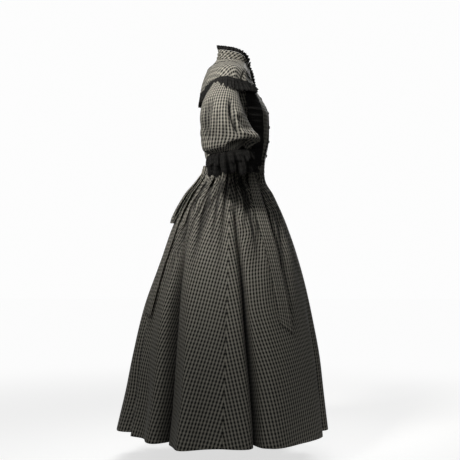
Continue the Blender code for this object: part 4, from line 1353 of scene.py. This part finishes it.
def make_sash(check):
    back = off_torso(180.0, KNOT_Z, np.array(BAND_PROUD))[1]
    middle = np.array([0.0, back + KNOT_HALF[1] * 0.8, KNOT_Z])
    polar = np.pi * (np.arange(KNOT_ROWS) + 0.5) / KNOT_ROWS
    turn = 2 * math.pi * np.arange(KNOT_COLUMNS) / KNOT_COLUMNS
    p, t = np.meshgrid(polar[::-1], turn, indexing="ij")
    ball = np.stack([np.sin(p) * -np.sin(t), np.sin(p) * -np.cos(t), np.cos(p)], axis=-1)
    ball = np.copysign(np.abs(ball) ** 0.8, ball)
    fold = 1 - 0.10 * (0.5 + 0.5 * np.sin(5 * p + 2.2 * np.sin(t)))
    grid = middle + ball * np.array(KNOT_HALF) * fold[..., None]
    wide = np.linspace(0, KNOT_CUT[0], KNOT_COLUMNS + 1)[None, :]
    flat = np.stack(np.broadcast_arrays(wide, np.linspace(0, KNOT_CHECK_RISE, KNOT_ROWS)[:, None]), axis=-1)
    knot = cloth("sash_knot_cloth", grid, flat, check, ["sash_knot"], closed=True)
    for side, way in SIDES:
        sash_strip(f"sash_loop_{side}_cloth", LOOP, way, 0.0, check, 0.1 * way, False)
        sash_strip(f"sash_tail_{side}_cloth", BACK_TAIL, way, BACK_TAIL_SLANT, check, 0.3 * way, True)
    sash_strip("sash_tail_front_cloth", FRONT_TAIL, 1, FRONT_TAIL_SLANT, check, 0.55, True)


AMBIENT = 0.06
LIGHTS = table("name place target size power spread colour", (
    ("key", (-2.10, 1.30, 1.50), (-0.12, 0.02, -0.04), (0.6, 0.6), 3.1, 30.0, (1.0, 0.985, 0.955)),
    ("top", (-0.3, 0.3, 2.3), (0.0, 0.0, -0.1), (1.2, 1.2), 3.0, 70.0, (1.0, 1.0, 0.99)),
    ("side", (2.4, -0.5, 1.1), (0.05, 0.0, -0.3), (1.2, 1.2), 7.5, 60.0, (0.98, 0.99, 1.0)),
    ("low", (-3.0, 0.5, 0.2), (0.0, 0.0, -0.8), (1.6, 1.6), 1.5, 80.0, (0.96, 0.99, 1.0)),
))


def area_light(light):
    data = bpy.data.lights.new(light.name, "AREA")
    data.shape = "RECTANGLE"
    data.size, data.size_y = light.size
    data.energy = light.power
    data.color = light.colour
    data.spread = math.radians(light.spread)
    lamp = bpy.data.objects.new(light.name, data)
    lamp.location = light.place
    lamp.rotation_euler = (Vector(light.target) - Vector(light.place)).to_track_quat("-Z", "Y").to_euler()
    bpy.context.scene.collection.objects.link(lamp)


WHITE = (1.0, 1.0, 1.0, 1.0)
FLOOR_NEAR = (0.80, 0.80, 0.79, 1.0)
FLOOR_FAR = (0.02, 0.02, 0.02, 1.0)
FLOOR_HALF = 9.0
BACKDROP = 0.98


def floor_material():
    """A pale floor with a soft shadow under the hem, that turns as white as the backdrop further out."""
    made, tree, shader = new_material("pale_floor")
    spot = tree.nodes.new("ShaderNodeTexCoord")
    away = tree.nodes.new("ShaderNodeVectorMath")
    away.operation = "LENGTH"
    tree.links.new(spot.outputs["Object"], away.inputs[0])
    far = node_math(tree, "MULTIPLY_ADD", away.outputs["Value"], 0.62, -0.85)
    far = node_math(tree, "MAXIMUM", node_math(tree, "SMOOTH_MIN", far, 1.0, 0.3), 0.0)
    tree.links.new(node_mix(tree, far, FLOOR_NEAR, FLOOR_FAR), shader.inputs["Base Color"])
    preset(shader, Roughness=0.9, Specular_IOR_Level=0.0, Emission_Color=WHITE)
    rays = tree.nodes.new("ShaderNodeLightPath")
    bright = node_math(tree, "MULTIPLY_ADD", far, 0.30, 0.67)
    glow = node_math(tree, "MULTIPLY", rays.outputs["Is Camera Ray"], bright)
    tree.links.new(glow, shader.inputs["Emission Strength"])
    return made


def make_studio():
    scene = bpy.context.scene
    scene.view_settings.view_transform = "Standard"
    mesh = bpy.data.meshes.new("floor")
    corners = [(x * FLOOR_HALF, y * FLOOR_HALF, FLOOR_Z) for x, y in ((-1, -1), (1, -1), (1, 1), (-1, 1))]
    mesh.from_pydata(corners, [], [(0, 1, 2, 3)])
    mesh.materials.append(floor_material())
    floor = bpy.data.objects.new("floor", mesh)
    scene.collection.objects.link(floor)
    world = bpy.data.worlds.new("studio")
    scene.world = world
    world.use_nodes = True
    tree = world.node_tree
    backdrop = tree.nodes["Background"]
    rays = tree.nodes.new("ShaderNodeLightPath")
    strength = node_math(tree, "MULTIPLY_ADD", rays.outputs["Is Camera Ray"], BACKDROP - AMBIENT, AMBIENT)
    tree.links.new(strength, backdrop.inputs["Strength"])
    preset(backdrop, Color=WHITE)
    for light in LIGHTS:
        area_light(light)
    data = bpy.data.cameras.new("camera")
    data.sensor_width = SENSOR
    data.lens = SENSOR * CAMERA_AWAY / FRAME_WIDTH
    data.clip_end = 60.0
    camera = bpy.data.objects.new("camera", data)
    camera.location = (-CAMERA_AWAY, 0.0, CAMERA_Z)
    camera.rotation_euler = (math.pi / 2, 0.0, -math.pi / 2)
    scene.collection.objects.link(camera)
    scene.camera = camera


def main():
    check = check_material()
    lace = lace_material()
    dark = button_material()
    make_skirt(check)
    line = make_bodice(check)
    make_placket(check, line)
    make_buttons(dark, line)
    make_band(check)
    make_sleeves(check)
    make_cuffs(lace)
    make_cape(check, lace)
    make_front_frills(lace)
    make_collar(check, lace)
    make_edge_frills(lace)
    make_sash(check)
    make_studio()


main()
